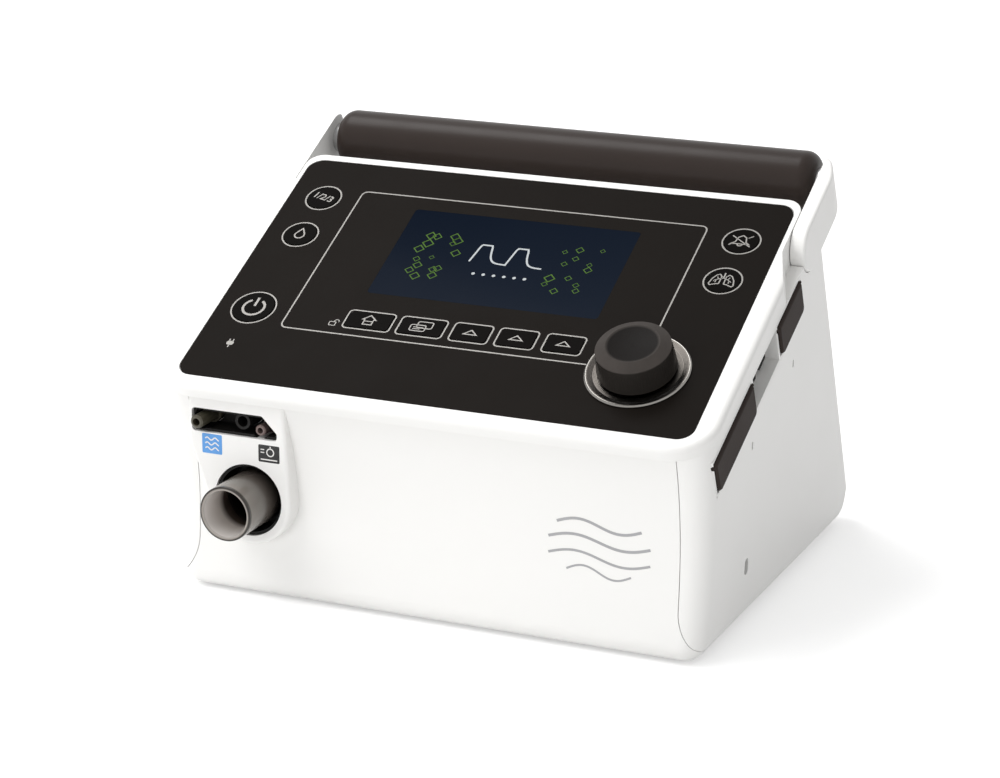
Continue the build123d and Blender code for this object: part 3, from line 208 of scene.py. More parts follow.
def glossySkirt(mat, skirt):
    # a darker and smoother skirt under the shoulder of the knob
    tree = mat.node_tree
    parts = added(tree, "ShaderNodeSeparateXYZ",
                  Vector=seenFrom(tree, knobStack["centre"], (deck["slope"], 0, 0)))
    below = added(tree, "ShaderNodeMapRange", Value=parts.outputs["Z"], From_Min=skirt["starts"],
                  From_Max=skirt["whole"]).outputs["Result"]
    recoloured(mat, below, skirt["colour"])
    gloss = tree.nodes["Principled BSDF"].inputs["Roughness"]
    polished = maths(tree, "MULTIPLY_ADD", below, -skirt["smoother"], gloss.links[0].from_socket)[0]
    tree.links.new(polished, gloss)
    return mat


def tubePaintedLightAndShade(mat, mouth, tube):
    # painted light and shade on a tube along Y that is not glass: the bore is painted bright near the mouth, where
    # light falls in, and dark deeper in; the outside is painted lighter just behind the mouth and darker further
    # back, as light seen through a clear wall
    tree = mat.node_tree
    parts = added(tree, "ShaderNodeSeparateXYZ", Vector=added(tree, "ShaderNodeTexCoord").outputs["Object"])
    back = added(tree, "ShaderNodeMapRange", Value=parts.outputs["Y"], From_Min=mouth,
                 From_Max=mouth + tube["fade"]).outputs["Result"]
    ramps = []
    for stops in (tube["inner"], tube["outer"]):
        ramp = added(tree, "ShaderNodeValToRGB", Fac=back)
        for i, (place, colour) in enumerate(stops):
            stop = ramp.color_ramp.elements[i] if i < 2 else ramp.color_ramp.elements.new(place)
            stop.position = place
            stop.color = (*colour, 1)
        ramps.append(ramp.outputs["Color"])
    away = distanceFromAxis(tree, seenFrom(tree, tube["axis"]), (1, 0, 1))
    outside = added(tree, "ShaderNodeMapRange", Value=away, From_Min=tube["split"] - tube["blur"],
                    From_Max=tube["split"] + tube["blur"]).outputs["Result"]
    paintedTubeLight = mixedColour(tree, *ramps, outside)
    base = tree.nodes["Principled BSDF"].inputs["Base Color"]
    tree.links.new(mixedColour(tree, base.links[0].from_socket, paintedTubeLight, blend="MULTIPLY"), base)
    return mat


# The knob with its ring; radii and heights in metres from the point on the deck under its middle
knobAt = {"x": 75.3, "s": 32.2}
knobStack = {"centre": onDeck(knobAt["x"], knobAt["s"], 0),
             "grooves": {"pitch": 0.00045, "strength": 0.25, "height": 0.00005},
             # the well's colour is painted shade on the ring round the knob's foot
             "shadedWell": {"radius": 0.0196, "blur": 0.0001, "colour": (0.080, 0.073, 0.066)},
             # the dish's colour is painted shade on the knob's top, darker than its shoulder
             "shadedDish": {"radius": 0.0098, "blur": 0.0006, "colour": (0.0055, 0.0042, 0.0036)},
             "skirt": {"starts": 0.0120, "whole": 0.0116, "colour": (0.022, 0.0193, 0.0172), "smoother": 0.22}}
# the inner and outer ramps are painted light and shade, not colours of the tube
outletTube = {"axis": (-0.075, 0, 0.043), "fade": 0.030, "split": 0.0102, "blur": 0.0002,
              "inner": [(0.0, (0.35, 0.33, 0.31)), (0.03, (1, 1, 1)), (0.42, (0.9, 0.88, 0.86)),
                        (0.55, (0.10, 0.08, 0.07)), (0.75, (0.01, 0.009, 0.008))],
              "outer": [(0.0, (0.03, 0.026, 0.022)), (0.028, (0.035, 0.03, 0.026)), (0.06, (0.24, 0.228, 0.21)),
                        (0.35, (0.16, 0.15, 0.138)), (0.62, (0.075, 0.066, 0.060)), (0.9, (0.02, 0.017, 0.014))]}
finishes = {
    "case_white": finish("caseWhite", (0.838, 0.832, 0.815), 0.42, grain=(1500, 0.05), cloud=(7, 0.03)),
    "panel_black": finish("overlayBlack", (0.0090, 0.0072, 0.0060), 0.45, grain=(2600, 0.05), cloud=(12, 0.3),
                          Specular_IOR_Level=0.022),
    "key_black": finish("keyBlack", (0.0042, 0.0036, 0.0032), 0.36, grain=(2200, 0.05), cloud=(40, 0.2),
                        Specular_IOR_Level=0.01),
    "knob_black": finish("knobBlack", (0.050, 0.0435, 0.0395), 0.42, grain=(1400, 0.22), cloud=(160, 0.35),
                         Specular_IOR_Level=0.055),
    "grip_dark": finish("gripDark", (0.0265, 0.0190, 0.0162), 0.34, grain=(1800, 0.22), cloud=(16, 0.2),
                        Specular_IOR_Level=0.16),
    "soft_rubber": finish("softRubber", (0.035, 0.0272, 0.0246), 0.62, grain=(1200, 0.3), cloud=(25, 0.25),
                          Specular_IOR_Level=0.06),
    "steel": finish("plainSteel", (0.55, 0.55, 0.55), 0.32, grain=(700, 0.1), cloud=(40, 0.1), Metallic=1.0),
    "socket_dark": finish("socketDark", (0.008, 0.0075, 0.007), 0.5, grain=(1200, 0.15), cloud=(25, 0.2),
                          Specular_IOR_Level=0.2),
    "nozzle_grey": finish("nozzleOlive", (0.060, 0.054, 0.036), 0.4, grain=(1500, 0.1), cloud=(60, 0.2)),
    "hose_grey": finish("hoseGrey", (0.25, 0.26, 0.27), 0.5, grain=(600, 0.2), cloud=(20, 0.1)),
    "inner_plastic": finish("innerPlastic", (0.07, 0.07, 0.075), 0.5, grain=(900, 0.2), cloud=(20, 0.15)),
    "circuit_board": finish("circuitBoard", (0.015, 0.12, 0.05), 0.35, grain=(500, 0.15), cloud=(90, 0.4)),
    "filter_foam": finish("filterFoam", (0.10, 0.10, 0.105), 0.9, grain=(700, 0.9), cloud=(200, 0.5)),
    "aluminium_grey": finish("sheetAluminium", (0.6, 0.6, 0.6), 0.4, grain=(300, 0.1), cloud=(30, 0.1),
                             Metallic=1.0),
    "clear_grey": finish("smokedTube", (0.80, 0.76, 0.73), 0.20, grain=(900, 0.02), cloud=(50, 0.08),
                         Specular_IOR_Level=0.4),
    "bright_ring": finish("brightRing", (0.27, 0.258, 0.242), 0.25, grain=(900, 0.0), cloud=(60, 0.1),
                          Metallic=1.0),
}
# painted light and shade along the outlet tube
tubePaintedLightAndShade(finishes["clear_grey"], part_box("outlet_tube")[0].y, outletTube)
# painted shade on the ring round the knob's foot, and below on the top of the knob
paintedShadeInside(turned(finishes["bright_ring"], knobStack["grooves"]), knobStack["shadedWell"])
glossySkirt(paintedShadeInside(finishes["knob_black"], knobStack["shadedDish"]), knobStack["skirt"])
pinkNozzle = finish("nozzleRose", (0.16, 0.115, 0.105), 0.38, grain=(1500, 0.1), cloud=(60, 0.2))

# The display: dark blue lit glass, deeper at the top left and bluer towards the lower right
display = {"corner": (-48.2, 110.4), "width": 0.098, "height": 0.0526, "lighterTowards": (0.45, -0.62, 0),
           "deep": (0.0016, 0.0038, 0.0086), "light": (0.0095, 0.0128, 0.0195), "strength": 0.8}


def screenFinish():
    mat = finish("screenGlass", (0.003, 0.005, 0.010), 0.10, grain=(900, 0.0), cloud=(20, 0.1),
                 Specular_IOR_Level=0.005)
    tree = mat.node_tree
    shader = tree.nodes["Principled BSDF"]
    place = seenFrom(tree, onDeck(*display["corner"], 0), (deck["slope"], 0, 0),
                     (display["width"], display["height"], 1))
    along = maths(tree, "DOT_PRODUCT", place, display["lighterTowards"], kind="ShaderNodeVectorMath")["Value"]
    ramp = added(tree, "ShaderNodeValToRGB", Fac=along)
    for stop, colour in zip(ramp.color_ramp.elements, (display["deep"], display["light"])):
        stop.color = (*colour, 1)
    tree.links.new(ramp.outputs["Color"], shader.inputs["Emission Color"])
    shader.inputs["Emission Strength"].default_value = display["strength"]
    return mat


finishes["screen_glass"] = screenFinish()
silverInk = finish("silverInk", (0.27, 0.258, 0.240), 0.4, grain=(900, 0.05), cloud=(80, 0.08), Metallic=0.2)
whiteInk = finish("whiteInk", (0.75, 0.74, 0.72), 0.5, grain=(900, 0.05), cloud=(80, 0.05))
greyInk = finish("greyInk", (0.36, 0.36, 0.37), 0.45, grain=(900, 0.05), cloud=(80, 0.08))
blueLabel = finish("blueLabel", (0.10, 0.31, 0.68), 0.4, grain=(900, 0.05), cloud=(80, 0.08))
blackLabel = finish("blackLabel", (0.012, 0.012, 0.012), 0.45, grain=(900, 0.05), cloud=(80, 0.1))
greenLit = finish("greenLit", (0.040, 0.085, 0.012), 0.4, grain=(900, 0.0), cloud=(160, 0.9),
                  Emission_Color=(0.10, 0.22, 0.02, 1), Emission_Strength=0.3, Specular_IOR_Level=0.05)
whiteLit = finish("whiteLit", (0.34, 0.36, 0.37), 0.4, grain=(900, 0.0), cloud=(80, 0.1),
                  Emission_Color=(0.7, 0.74, 0.76, 1), Emission_Strength=0.22, Specular_IOR_Level=0.1)

for entry in frame["record"]["subparts"]:
    nodes[entry["node"]].material_slots[0].material = finishes[entry["material_slot"]]
nodes["supply_nozzle"].material_slots[0].material = pinkNozzle
print("materials:", len(bpy.data.materials))


# Flat printing: strips, loops and filled shapes laid on a surface, in millimetres
inkLift = 0.03


def roundedBox(x, s, width, height, corner, steps=5):
    points = []
    for cx, cs, start in ((1, 1, 0), (-1, 1, 90), (-1, -1, 180), (1, -1, 270)):
        for i in range(steps + 1):
            a = math.radians(start + 90 * i / steps)
            points.append((x + cx * (width / 2 - corner) + corner * math.cos(a),
                           s + cs * (height / 2 - corner) + corner * math.sin(a)))
    return points


def circle(x, s, radius, start=0.0, end=360.0, steps=40):
    angles = [math.radians(start + (end - start) * i / steps) for i in range(steps + 1)]
    return [(x + radius * math.cos(a), s + radius * math.sin(a)) for a in angles]


def moved(points, dx, ds):
    return [(x + dx, s + ds) for x, s in points]


def withoutRepeat(points):
    # a loop's points without a last one that stands on the first
    same = (Vector(points[0]) - Vector(points[-1])).length < 1e-6
    return points[:-1] if same else points


def strip(mesh, points, width, closed, place, lift):
    # a line of even width along the points, with mitred corners
    points = withoutRepeat(points) if closed else points
    sharpest = 0.35
    count = len(points)
    sides = []
    for i, point in enumerate(points):
        before = points[i - 1] if closed or i else None
        after = points[(i + 1) % count] if closed or i < count - 1 else None
        here = Vector(point)
        entering = (here - Vector(before)).normalized() if before else None
        leaving = (Vector(after) - here).normalized() if after else None
        entering = entering or leaving
        leaving = leaving or entering
        normal = Vector((-(entering + leaving).y, (entering + leaving).x)).normalized()
        reach = width / 2 / max(sharpest, normal.dot(Vector((-entering.y, entering.x))))
        sides.append([mesh.verts.new(place(*(here + normal * side * reach), lift)) for side in (-1, 1)])
    pairs = list(zip(sides, sides[1:])) + ([(sides[-1], sides[0])] if closed else [])
    for a, b in pairs:
        mesh.faces.new((a[0], b[0], b[1], a[1]))


def patch(mesh, points, place, lift):
    mesh.faces.new([mesh.verts.new(place(x, s, lift)) for x, s in withoutRepeat(points)])


def printPiece(name, shapes, place, material, body, lift=inkLift):
    mesh = bmesh.new()
    for kind, points, *width in shapes:
        if kind == "fill":
            patch(mesh, points, place, lift)
        else:
            strip(mesh, points, width[0], kind == "loop", place, lift)
    bmesh.ops.triangulate(mesh, faces=[f for f in mesh.faces if len(f.verts) > 4])
    bmesh.ops.recalc_face_normals(mesh, faces=mesh.faces)
    outward = place(0, 60, 10) - place(0, 60, 0)
    for face in mesh.faces:
        if face.normal.dot(outward) < 0:
            face.normal_flip()
    data = bpy.data.meshes.new(name)
    mesh.to_mesh(data)
    mesh.free()
    piece = bpy.data.objects.new(name, data)
    bpy.context.collection.objects.link(piece)
    data.materials.append(material)
    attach(piece, body)
    return piece


# The silver frames on the deck: places of the keys as (x, s, radius) and (x, width)
roundKeys = {"key_power": (-91.0, 41.4, 9.6), "key_humidifier": (-91.0, 87.4, 7.88),
             "key_program": (-91.0, 111.3, 7.88), "key_breath": (91.0, 87.4, 7.88),
             "key_alarm_mute": (91.0, 111.3, 7.88)}
keyRing = {"inset": 0.32, "line": 0.62}
softKeys = [(-40.1, 19.6), (-17.5, 19.0), (3.4, 15.6), (22.5, 15.6), (42.0, 15.4)]
softFrame = {"s": 41.75, "height": 10.0, "margin": 0.5, "corner": 1.7, "line": 0.6}
deckFrame = {"half": 75.3, "low": 32.5, "high": 118.0, "corner": 2.6, "line": 0.62, "openFrom": 54.8, "openTo": 53.4}
lock = {"x": -54.6, "s": 37.9}
plug = {"x": -91.5, "s": 20.0, "pin": 0.8, "line": 0.5}

across, low, high = deckFrame["half"] - deckFrame["corner"], deckFrame["low"], deckFrame["high"]
outline = [(deckFrame["half"], deckFrame["openTo"])]
for x, s, start in ((across, high - deckFrame["corner"], 0), (-across, high - deckFrame["corner"], 90),
                    (-across, low + deckFrame["corner"], 180)):
    outline += circle(x, s, deckFrame["corner"], start, start + 90, 5)
outline.append((deckFrame["openFrom"], low))
shapes = [("line", outline, deckFrame["line"])]
for x, s, radius in roundKeys.values():
    shapes.append(("loop", circle(x, s, radius - keyRing["inset"]), keyRing["line"]))
for x, width in softKeys:
    shapes.append(("loop", roundedBox(x, softFrame["s"], width + softFrame["margin"],
                                      softFrame["height"] + softFrame["margin"], softFrame["corner"]),
                   softFrame["line"]))
# a small lock beside the keys, and the mains sign at the lower left
shapes += [("loop", roundedBox(lock["x"], lock["s"], 2.7, 2.1, 0.4, 2), 0.38),
           ("line", circle(lock["x"] + 1.4, lock["s"] + 1.4, 1.0, -20, 185, 8), 0.36),
           ("fill", roundedBox(plug["x"], plug["s"], 3.0, 2.3, 0.9))]
for x, low, high in ((-plug["pin"], 0.9, 2.3), (plug["pin"], 0.9, 2.3), (0, -1.0, -2.5)):
    shapes.append(("line", [(plug["x"] + x, plug["s"] + low), (plug["x"] + x, plug["s"] + high)], plug["line"]))
printPiece("panelPrint", shapes, onDeck, silverInk, "case")

# Signs on the keys, drawn from the middle of each cap and riding on it
capTop = 0.4
keySigns = {
    "key_power": [("line", circle(0.2, -0.2, 4.5, 120, 420, 30), 1.05), ("line", [(0.2, 0.6), (0.2, 5.6)], 1.05)],
    "key_humidifier": [("loop", [(0, 3.4), (-1.1, 1.6), (-1.95, 0.0), (-2.05, -1.2), (-1.3, -2.3), (0, -2.75),
                                 (1.3, -2.3), (2.05, -1.2), (1.95, 0.0), (1.1, 1.6)], 0.6)],
    "key_breath": [("line", [(0, 4.2), (0, 1.2)], 0.6)] + [
        ("loop", [(0.9 * m, 2.0), (1.9 * m, 3.2), (3.1 * m, 2.6), (4.4 * m, 0.2), (5.0 * m, -2.6), (4.4 * m, -3.4),
                  (2.6 * m, -2.6), (1.0 * m, -2.2)], 0.5) for m in (-1, 1)] + [
        ("line", [(0, 1.2), (1.9 * m, 0.4), (2.5 * m, 1.7)], 0.38) for m in (-1, 1)] + [
        ("line", [(1.9 * m, 0.4), (3.6 * m, -0.8)], 0.38) for m in (-1, 1)] + [
        ("line", [(2.6 * m, -0.2), (2.7 * m, -1.7)], 0.38) for m in (-1, 1)],
    "key_alarm_mute": [("loop", [(0, 3.1), (1.6, 1.9), (2.2, -0.9), (3.5, -2.0), (-3.5, -2.0), (-2.2, -0.9),
                                 (-1.6, 1.9)], 0.55),
                       ("line", circle(0, -2.2, 1.0, 180, 360, 8), 0.5),
                       ("line", [(-4.2, 2.6), (4.4, -3.3)], 0.5), ("line", [(-4.4, -3.0), (-2.6, -1.6)], 0.45),
                       ("line", [(2.4, 1.8), (4.2, 3.2)], 0.45)],
}
house = [("loop", [(-2.7, 0.3), (0, 2.7), (2.7, 0.3), (1.9, 0.3), (1.9, -2.6), (-1.9, -2.6), (-1.9, 0.3)], 0.5),
         ("line", [(-1.9, -0.7), (1.9, -0.7)], 0.45)]
pages = [("loop", roundedBox(1.2, 0.9, 6.4, 3.6, 0.7, 3), 0.48),
         ("loop", roundedBox(-1.3, -1.0, 6.4, 3.4, 0.7, 3), 0.48),
         ("line", [(-3.3, -0.6), (0.7, -0.6)], 0.4), ("line", [(-3.3, -1.6), (-0.3, -1.6)], 0.4)]
arrow = [("loop", [(-2.7, -1.2), (0, 1.3), (2.7, -1.2)], 0.5)]
for name, sign in keySigns.items():
    x, s, radius = roundKeys[name]
    shapes = [(kind, moved(points, x, s), *width) for kind, points, *width in sign]
    printPiece("sign_" + name, shapes, onDeck, silverInk, name, capTop + inkLift)
for number, ((x, width), sign) in enumerate(zip(softKeys, (house, pages, arrow, arrow, arrow)), 1):
    shapes = [(kind, moved(points, x, softFrame["s"]), *width) for kind, points, *width in sign]
    printPiece("sign_soft_" + str(number), shapes, onDeck, silverInk, "soft_key_" + str(number),
               capTop + inkLift)

numbers = {"text": "1/2/3", "size": 4.9, "lean": math.radians(16), "bolder": 0.06}


def numberSign(name, x, s, body):
    curve = bpy.data.curves.new(name + "Curve", "FONT")
    curve.body = numbers["text"]
    curve.size = numbers["size"]
    curve.align_x = "CENTER"
    curve.align_y = "CENTER"
    curve.resolution_u = 3
    curve.offset = numbers["bolder"]
    holder = bpy.data.objects.new(name + "Curve", curve)
    bpy.context.collection.objects.link(holder)
    data = bpy.data.meshes.new_from_object(holder.evaluated_get(bpy.context.evaluated_depsgraph_get()))
    bpy.data.objects.remove(holder)
    c, k = math.cos(numbers["lean"]), math.sin(numbers["lean"])
    for vertex in data.vertices:
        along, up = vertex.co.x, vertex.co.y
        vertex.co = onDeck(x + along * c + up * k, s + up * c - along * k, capTop + inkLift)
    data.name = name
    piece = bpy.data.objects.new(name, data)
    bpy.context.collection.objects.link(piece)
    data.materials.clear()
    data.materials.append(silverInk)
    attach(piece, body)


numberSign("sign_key_program", *roundKeys["key_program"][:2], "key_program")
print("deck printing done")

# Lit picture on the screen: a breathing curve over a row of dots
screen = {"x": 0.8, "s": 84.1, "lift": 0.03}
breath = {"from": -14.5, "width": 31, "s": -1.5, "height": 10.5, "steps": 60, "breaths": 2, "rise": 9, "hold": 0.42,
          "fall": 11, "line": 0.8}
dotRow = {"count": 6, "from": -10, "pitch": 4.4, "s": -8.4, "radius": 0.75}
curve = []
for i in range(breath["steps"] + 1):
    t = i / breath["steps"]
    beat = t * breath["breaths"] % 1
    fallen = math.exp(-(beat - breath["hold"]) * breath["fall"])
    height = min(1, beat * breath["rise"]) if beat < breath["hold"] else fallen
    curve.append((screen["x"] + breath["from"] + breath["width"] * t,
                  screen["s"] + breath["s"] + breath["height"] * height))
dots = [("fill", circle(screen["x"] + dotRow["from"] + dotRow["pitch"] * i, screen["s"] + dotRow["s"],
                        dotRow["radius"], steps=10)) for i in range(dotRow["count"])]
printPiece("screenCurve", [("line", curve, breath["line"])] + dots, onDeck, whiteLit, "case",
           screen["lift"])
print("screen picture done")


# What repeats is made with Geometry Nodes and turned into a plain mesh
def applied(tree, name, inputs, body):
    base = bpy.data.objects.new(name, bpy.data.meshes.new(name + "Base"))
    bpy.context.collection.objects.link(base)
    modifier = base.modifiers.new("made", "NODES")
    modifier.node_group = tree
    for item in tree.interface.items_tree:
        if item.item_type == "SOCKET" and item.in_out == "INPUT" and item.name in inputs:
            modifier[item.identifier] = inputs[item.name]
    bpy.context.view_layer.update()
    made = bpy.data.meshes.new_from_object(base.evaluated_get(bpy.context.evaluated_depsgraph_get()))
    base.modifiers.remove(modifier)
    made.name = name
    base.data = made
    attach(base, body)


def geometryTree(name, sizes):
    # sizes are numbers; the turn to the deck, the place and the finish come with every tree
    tree = bpy.data.node_groups.new(name, "GeometryNodeTree")
    for label, value in {**sizes, "Slope": deck["slope"]}.items():
        kind = "NodeSocketInt" if isinstance(value, int) else "NodeSocketFloat"
        tree.interface.new_socket(label, in_out="INPUT", socket_type=kind).default_value = value
    tree.interface.new_socket("Centre", in_out="INPUT", socket_type="NodeSocketVector")
    tree.interface.new_socket("Finish", in_out="INPUT", socket_type="NodeSocketMaterial")
    tree.interface.new_socket("Geometry", in_out="OUTPUT", socket_type="NodeSocketGeometry")
    return tree, tree.nodes.new("NodeGroupInput").outputs


def seated(tree, given, copies):
    # the copies as real geometry, turned to the deck, moved to their centre and given their finish
    tilt = added(tree, "ShaderNodeCombineXYZ", X=given["Slope"])
    whole = added(tree, "GeometryNodeRealizeInstances", Geometry=copies)
    seat = added(tree, "GeometryNodeTransform", Geometry=whole.outputs["Geometry"], Translation=given["Centre"],
                 Rotation=tilt.outputs["Vector"])
    paint = added(tree, "GeometryNodeSetMaterial", Geometry=seat.outputs["Geometry"], Material=given["Finish"])
    added(tree, "NodeGroupOutput", Geometry=paint.outputs["Geometry"])
    return tree


def ribTree():
    # thin ribs round the knob's tapered side
    tree, given = geometryTree("knobRibs", {"Count": 72, "Radius": 0.0150, "Height": 0.008, "Width": 0.0005,
                                            "Lean": 0.08})
    ring = added(tree, "GeometryNodeMeshCircle", Vertices=given["Count"], Radius=given["Radius"])
    rib = added(tree, "GeometryNodeMeshCylinder", Vertices=6, Depth=given["Height"],
                Radius=maths(tree, "MULTIPLY", given["Width"], 0.5)[0])
    place = added(tree, "GeometryNodeInputPosition")
    around = added(tree, "ShaderNodeSeparateXYZ", Vector=place.outputs["Position"]).outputs
    turn = added(tree, "ShaderNodeCombineXYZ", Y=maths(tree, "MULTIPLY", given["Lean"], -1.0)[0],
                 Z=maths(tree, "ARCTAN2", around["Y"], around["X"])[0])
    copies = added(tree, "GeometryNodeInstanceOnPoints", Points=ring.outputs["Mesh"], Instance=rib.outputs["Mesh"],
                   Rotation=turn.outputs["Vector"])
    return seated(tree, given, copies.outputs["Instances"])


knobRibs = {"Count": 84, "Radius": 0.01478, "Height": 0.0078, "Width": 0.00042, "Lean": 0.08}
ribMiddle = 6.6
applied(ribTree(), "knobRibs", {**knobRibs, "Centre": onDeck(knobAt["x"], knobAt["s"], ribMiddle),
                                "Finish": finishes["knob_black"]}, "knob")


def lozengeTree():
    # outlined lozenges of mixed size, scattered inside one band of the screen
    tree, given = geometryTree("screenLozenges", {"Count": 14, "Seed": 3, "Width": 0.016, "Height": 0.024,
                                                  "Size": 0.0022})
    jitter = tree.nodes.new("FunctionNodeRandomValue")
    jitter.data_type = "FLOAT_VECTOR"
    for label, value in (("Min", (-0.0024, -0.0030, 0)), ("Max", (0.0024, 0.0030, 0)), ("Seed", given["Seed"])):
        feed(tree, jitter.inputs[label], value)
    band = added(tree, "GeometryNodeMeshGrid", Size_X=given["Width"], Size_Y=given["Height"], Vertices_X=4,
                 Vertices_Y=5)
    points = added(tree, "GeometryNodeSetPosition", Geometry=band.outputs["Mesh"], Offset=jitter.outputs[0])
    square = added(tree, "GeometryNodeMeshCircle", Vertices=4, Radius=given["Size"])
    square.fill_type = "NGON"
    inset = added(tree, "GeometryNodeExtrudeMesh", Mesh=square.outputs["Mesh"], Offset_Scale=0.0)
    shrunk = added(tree, "GeometryNodeScaleElements", Geometry=inset.outputs["Mesh"], Selection=inset.outputs["Top"],
                   Scale=0.74)
    hollow = added(tree, "GeometryNodeDeleteGeometry", Geometry=shrunk.outputs["Geometry"],
                   Selection=inset.outputs["Top"])
    hollow.domain = "FACE"
    chance = tree.nodes.new("FunctionNodeRandomValue")
    chance.data_type = "BOOLEAN"
    feed(tree, chance.inputs["Probability"], 0.72)
    feed(tree, chance.inputs["Seed"], given["Seed"])
    size = tree.nodes.new("FunctionNodeRandomValue")
    feed(tree, size.inputs[2], 0.5)
    feed(tree, size.inputs[3], 1.35)
    feed(tree, size.inputs["Seed"], given["Seed"])
    copies = added(tree, "GeometryNodeInstanceOnPoints", Points=points.outputs["Geometry"],
                   Instance=hollow.outputs["Geometry"], Selection=chance.outputs[3], Scale=size.outputs[1])
    return seated(tree, given, copies.outputs["Instances"])


lozenges = {"Width": 0.014, "Height": 0.024, "Size": 0.0021}
bands = {"Left": {"x": -29.5, "seed": 11}, "Right": {"x": 31.0, "seed": 23}}
scatter = lozengeTree()
for side, band in bands.items():
    applied(scatter, "screenLozenges" + side, {
        **lozenges, "Seed": band["seed"], "Centre": onDeck(band["x"], screen["s"], screen["lift"] + 0.01),
        "Finish": greenLit}, "case")
print("repeats done")

# Two labels over the outlet
labels = {"blue": (-90.5, 64.0, 8.8, 8.0), "black": (-65.5, 63.1, 9.2, 7.0), "corner": 0.5, "lift": 0.04,
          "inkLift": 0.07}
x, z, width, height = labels["blue"]
printPiece("labelBlue", [("fill", roundedBox(x, z, width, height, labels["corner"]))], onPad, blueLabel, "case",
           labels["lift"])
flow = [("line", [(x - 3.0 + 0.5 * i, z + dz + 0.55 * math.sin(i * 0.9)) for i in range(13)], 0.5)
        for dz in (-2.0, 0, 2.0)]
printPiece("labelBlueSign", flow, onPad, whiteInk, "case", labels["inkLift"])
x, z, width, height = labels["black"]
printPiece("labelBlack", [("fill", roundedBox(x, z, width, height, labels["corner"]))], onPad, blackLabel, "case",
           labels["lift"])
valve = [("loop", circle(0.6, 0.6, 1.5, steps=20), 0.45), ("line", [(0.6, 2.1), (0.6, 3.1)], 0.45),
         ("line", [(-3.6, -2.4), (3.6, -2.4)], 0.5), ("line", [(-3.6, 1.6), (-2.0, 1.6)], 0.4),
         ("line", [(-3.6, 0.4), (-2.0, 0.4)], 0.4)]
printPiece("labelBlackSign", [(kind, moved(points, x, z), *width) for kind, points, *width in valve], onPad,
           whiteInk, "case", labels["inkLift"])

# The motif on the front: wavy lines, each with its height, half length and width
motif = {"x": 69.0, "z": 41.0, "swing": 2.1, "steps": 40, "lift": 0.05,
         "lines": [(9.5, 17.0, 1.15), (3.0, 20.5, 1.15), (-3.5, 20.5, 1.0), (-9.0, 13.0, 0.8)]}
breeze = []
for rise, reach, width in motif["lines"]:
    turns = [i / motif["steps"] for i in range(motif["steps"] + 1)]
    breeze.append(("line", [(motif["x"] + reach * (2 * t - 1),
                             motif["z"] + rise + motif["swing"] * math.sin(2 * math.pi * t)) for t in turns], width))
printPiece("frontMotif", breeze, onFront, greyInk, "case", motif["lift"])

# Tiny signs under the open sockets in the bay on the right side, on its back wall
bay = {"places": (53.0, 57.6, 62.2, 69.4, 73.6), "n": -27.6, "lift": -7.74, "line": 0.28}
baySigns = []
for s in bay["places"]:
    baySigns += [("loop", roundedBox(s, bay["n"], 2.0, 1.1, 0.3, 2), bay["line"]),
                 ("line", [(s + 1.5, bay["n"] - 0.5), (s + 1.5, bay["n"] + 0.5)], bay["line"])]
printPiece("baySigns", baySigns, onFlank, greyInk, "case", bay["lift"])
print("labels done")

# The studio: a pale floor that turns white with distance, a soft sky and three lamps
studio = {"floor": 3.0, "floorColour": (0.9, 0.9, 0.9), "floorRoughness": 0.75, "floorSpecular": 0.1,
          "seenFloor": (0.36, 0.54), "whiterFrom": 0.35, "whiteBy": 1.6, "ambient": 0.56, "aim": (0, 0, 0.08)}
lamps = {
    "keyLamp": {"at": (-0.70, -0.75, 1.25), "size": 1.0, "power": 8.5, "mirrored": False},
    "fillLamp": {"at": (-0.25, -1.5, 0.40), "size": 0.9, "power": 5.4, "mirrored": False},
    "topLamp": {"at": (-0.47, 0.05, 1.20), "size": 0.6, "power": 6.2, "mirrored": True},
}
cameraSetup = {"at": (0.4245, -1.00284, 0.3937), "azimuth": 23.272, "elevation": 16.382, "roll": 0.459,
               "lens": 100.74, "sensor": 36.0, "clipStart": 0.05}


def cameraOrMirror(tree):
    # 1 for rays that show the background: straight from the camera, off metal or through glass
    rays = tree.nodes.new("ShaderNodeLightPath").outputs
    seen = maths(tree, "MAXIMUM", rays["Is Camera Ray"], rays["Is Transmission Ray"])[0]
    return maths(tree, "MAXIMUM", seen, rays["Is Glossy Ray"])[0]


def floorMaterial():
    mat = bpy.data.materials.new("paleFloor")
    mat.use_nodes = True
    tree = mat.node_tree
    shader = tree.nodes["Principled BSDF"]
    shader.inputs["Base Color"].default_value = (*studio["floorColour"], 1)
    shader.inputs["Roughness"].default_value = studio["floorRoughness"]
    shader.inputs["Specular IOR Level"].default_value = studio["floorSpecular"]
    shader.inputs["Emission Color"].default_value = (1, 1, 1, 1)
    away = distanceFromAxis(tree, added(tree, "ShaderNodeTexCoord").outputs["Object"], (1, 1, 0))
    near, far = studio["seenFloor"]
    lift = added(tree, "ShaderNodeMapRange", Value=away, From_Min=studio["whiterFrom"], From_Max=studio["whiteBy"],
                 To_Min=near, To_Max=far).outputs["Result"]
    tree.links.new(maths(tree, "MULTIPLY", cameraOrMirror(tree), lift)[0], shader.inputs["Emission Strength"])
    return mat


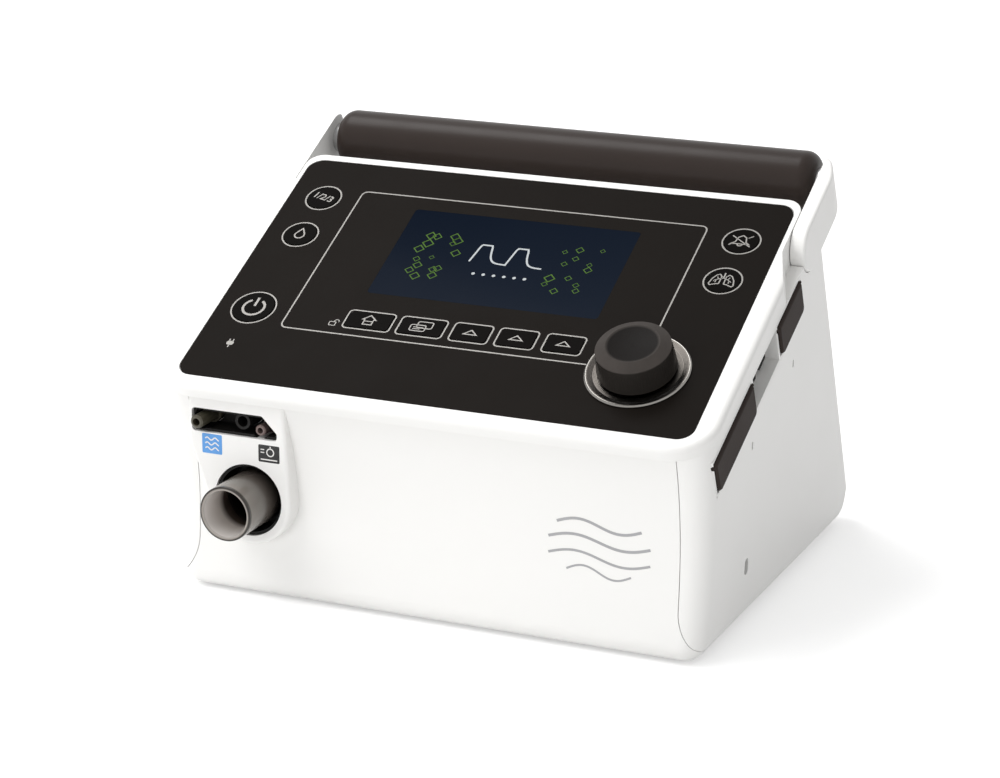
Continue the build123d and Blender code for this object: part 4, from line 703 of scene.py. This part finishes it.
reach = studio["floor"]
floorMesh = bpy.data.meshes.new("floor")
floorMesh.from_pydata([(-reach, -reach, 0), (reach, -reach, 0), (reach, reach, 0), (-reach, reach, 0)], [],
                      [(0, 1, 2, 3)])
floor = bpy.data.objects.new("floor", floorMesh)
bpy.context.collection.objects.link(floor)
floorMesh.materials.append(floorMaterial())

world = bpy.data.worlds.new("studio")
bpy.context.scene.world = world
world.use_nodes = True
sky = world.node_tree.nodes["Background"]
sky.inputs["Color"].default_value = (1, 1, 1, 1)
level = added(world.node_tree, "ShaderNodeMapRange", Value=cameraOrMirror(world.node_tree), To_Min=studio["ambient"],
              To_Max=1.0)
world.node_tree.links.new(level.outputs["Result"], sky.inputs["Strength"])

for name, lamp in lamps.items():
    data = bpy.data.lights.new(name, "AREA")
    data.size = lamp["size"]
    data.energy = lamp["power"]
    light = bpy.data.objects.new(name, data)
    bpy.context.collection.objects.link(light)
    light.location = lamp["at"]
    light.visible_glossy = lamp["mirrored"]
    light.rotation_euler = (Vector(studio["aim"]) - Vector(lamp["at"])).to_track_quat("-Z", "Y").to_euler()

azimuth, elevation, roll = (math.radians(cameraSetup[k]) for k in ("azimuth", "elevation", "roll"))
backward = Vector((math.sin(azimuth) * math.cos(elevation), -math.cos(azimuth) * math.cos(elevation),
                   math.sin(elevation)))
right = Vector((0, 0, 1)).cross(backward).normalized()
upward = backward.cross(right)
turnedRight = right * math.cos(roll) + upward * math.sin(roll)
turnedUp = -right * math.sin(roll) + upward * math.cos(roll)
cameraData = bpy.data.cameras.new("camera")
cameraData.lens = cameraSetup["lens"]
cameraData.sensor_width = cameraSetup["sensor"]
cameraData.clip_start = cameraSetup["clipStart"]
camera = bpy.data.objects.new("camera", cameraData)
bpy.context.collection.objects.link(camera)
camera.matrix_world = Matrix((
    (turnedRight.x, turnedUp.x, backward.x, cameraSetup["at"][0]),
    (turnedRight.y, turnedUp.y, backward.y, cameraSetup["at"][1]),
    (turnedRight.z, turnedUp.z, backward.z, cameraSetup["at"][2]),
    (0, 0, 0, 1)))
bpy.context.scene.camera = camera
bpy.context.scene.view_settings.view_transform = "Standard"
print("light and camera done")
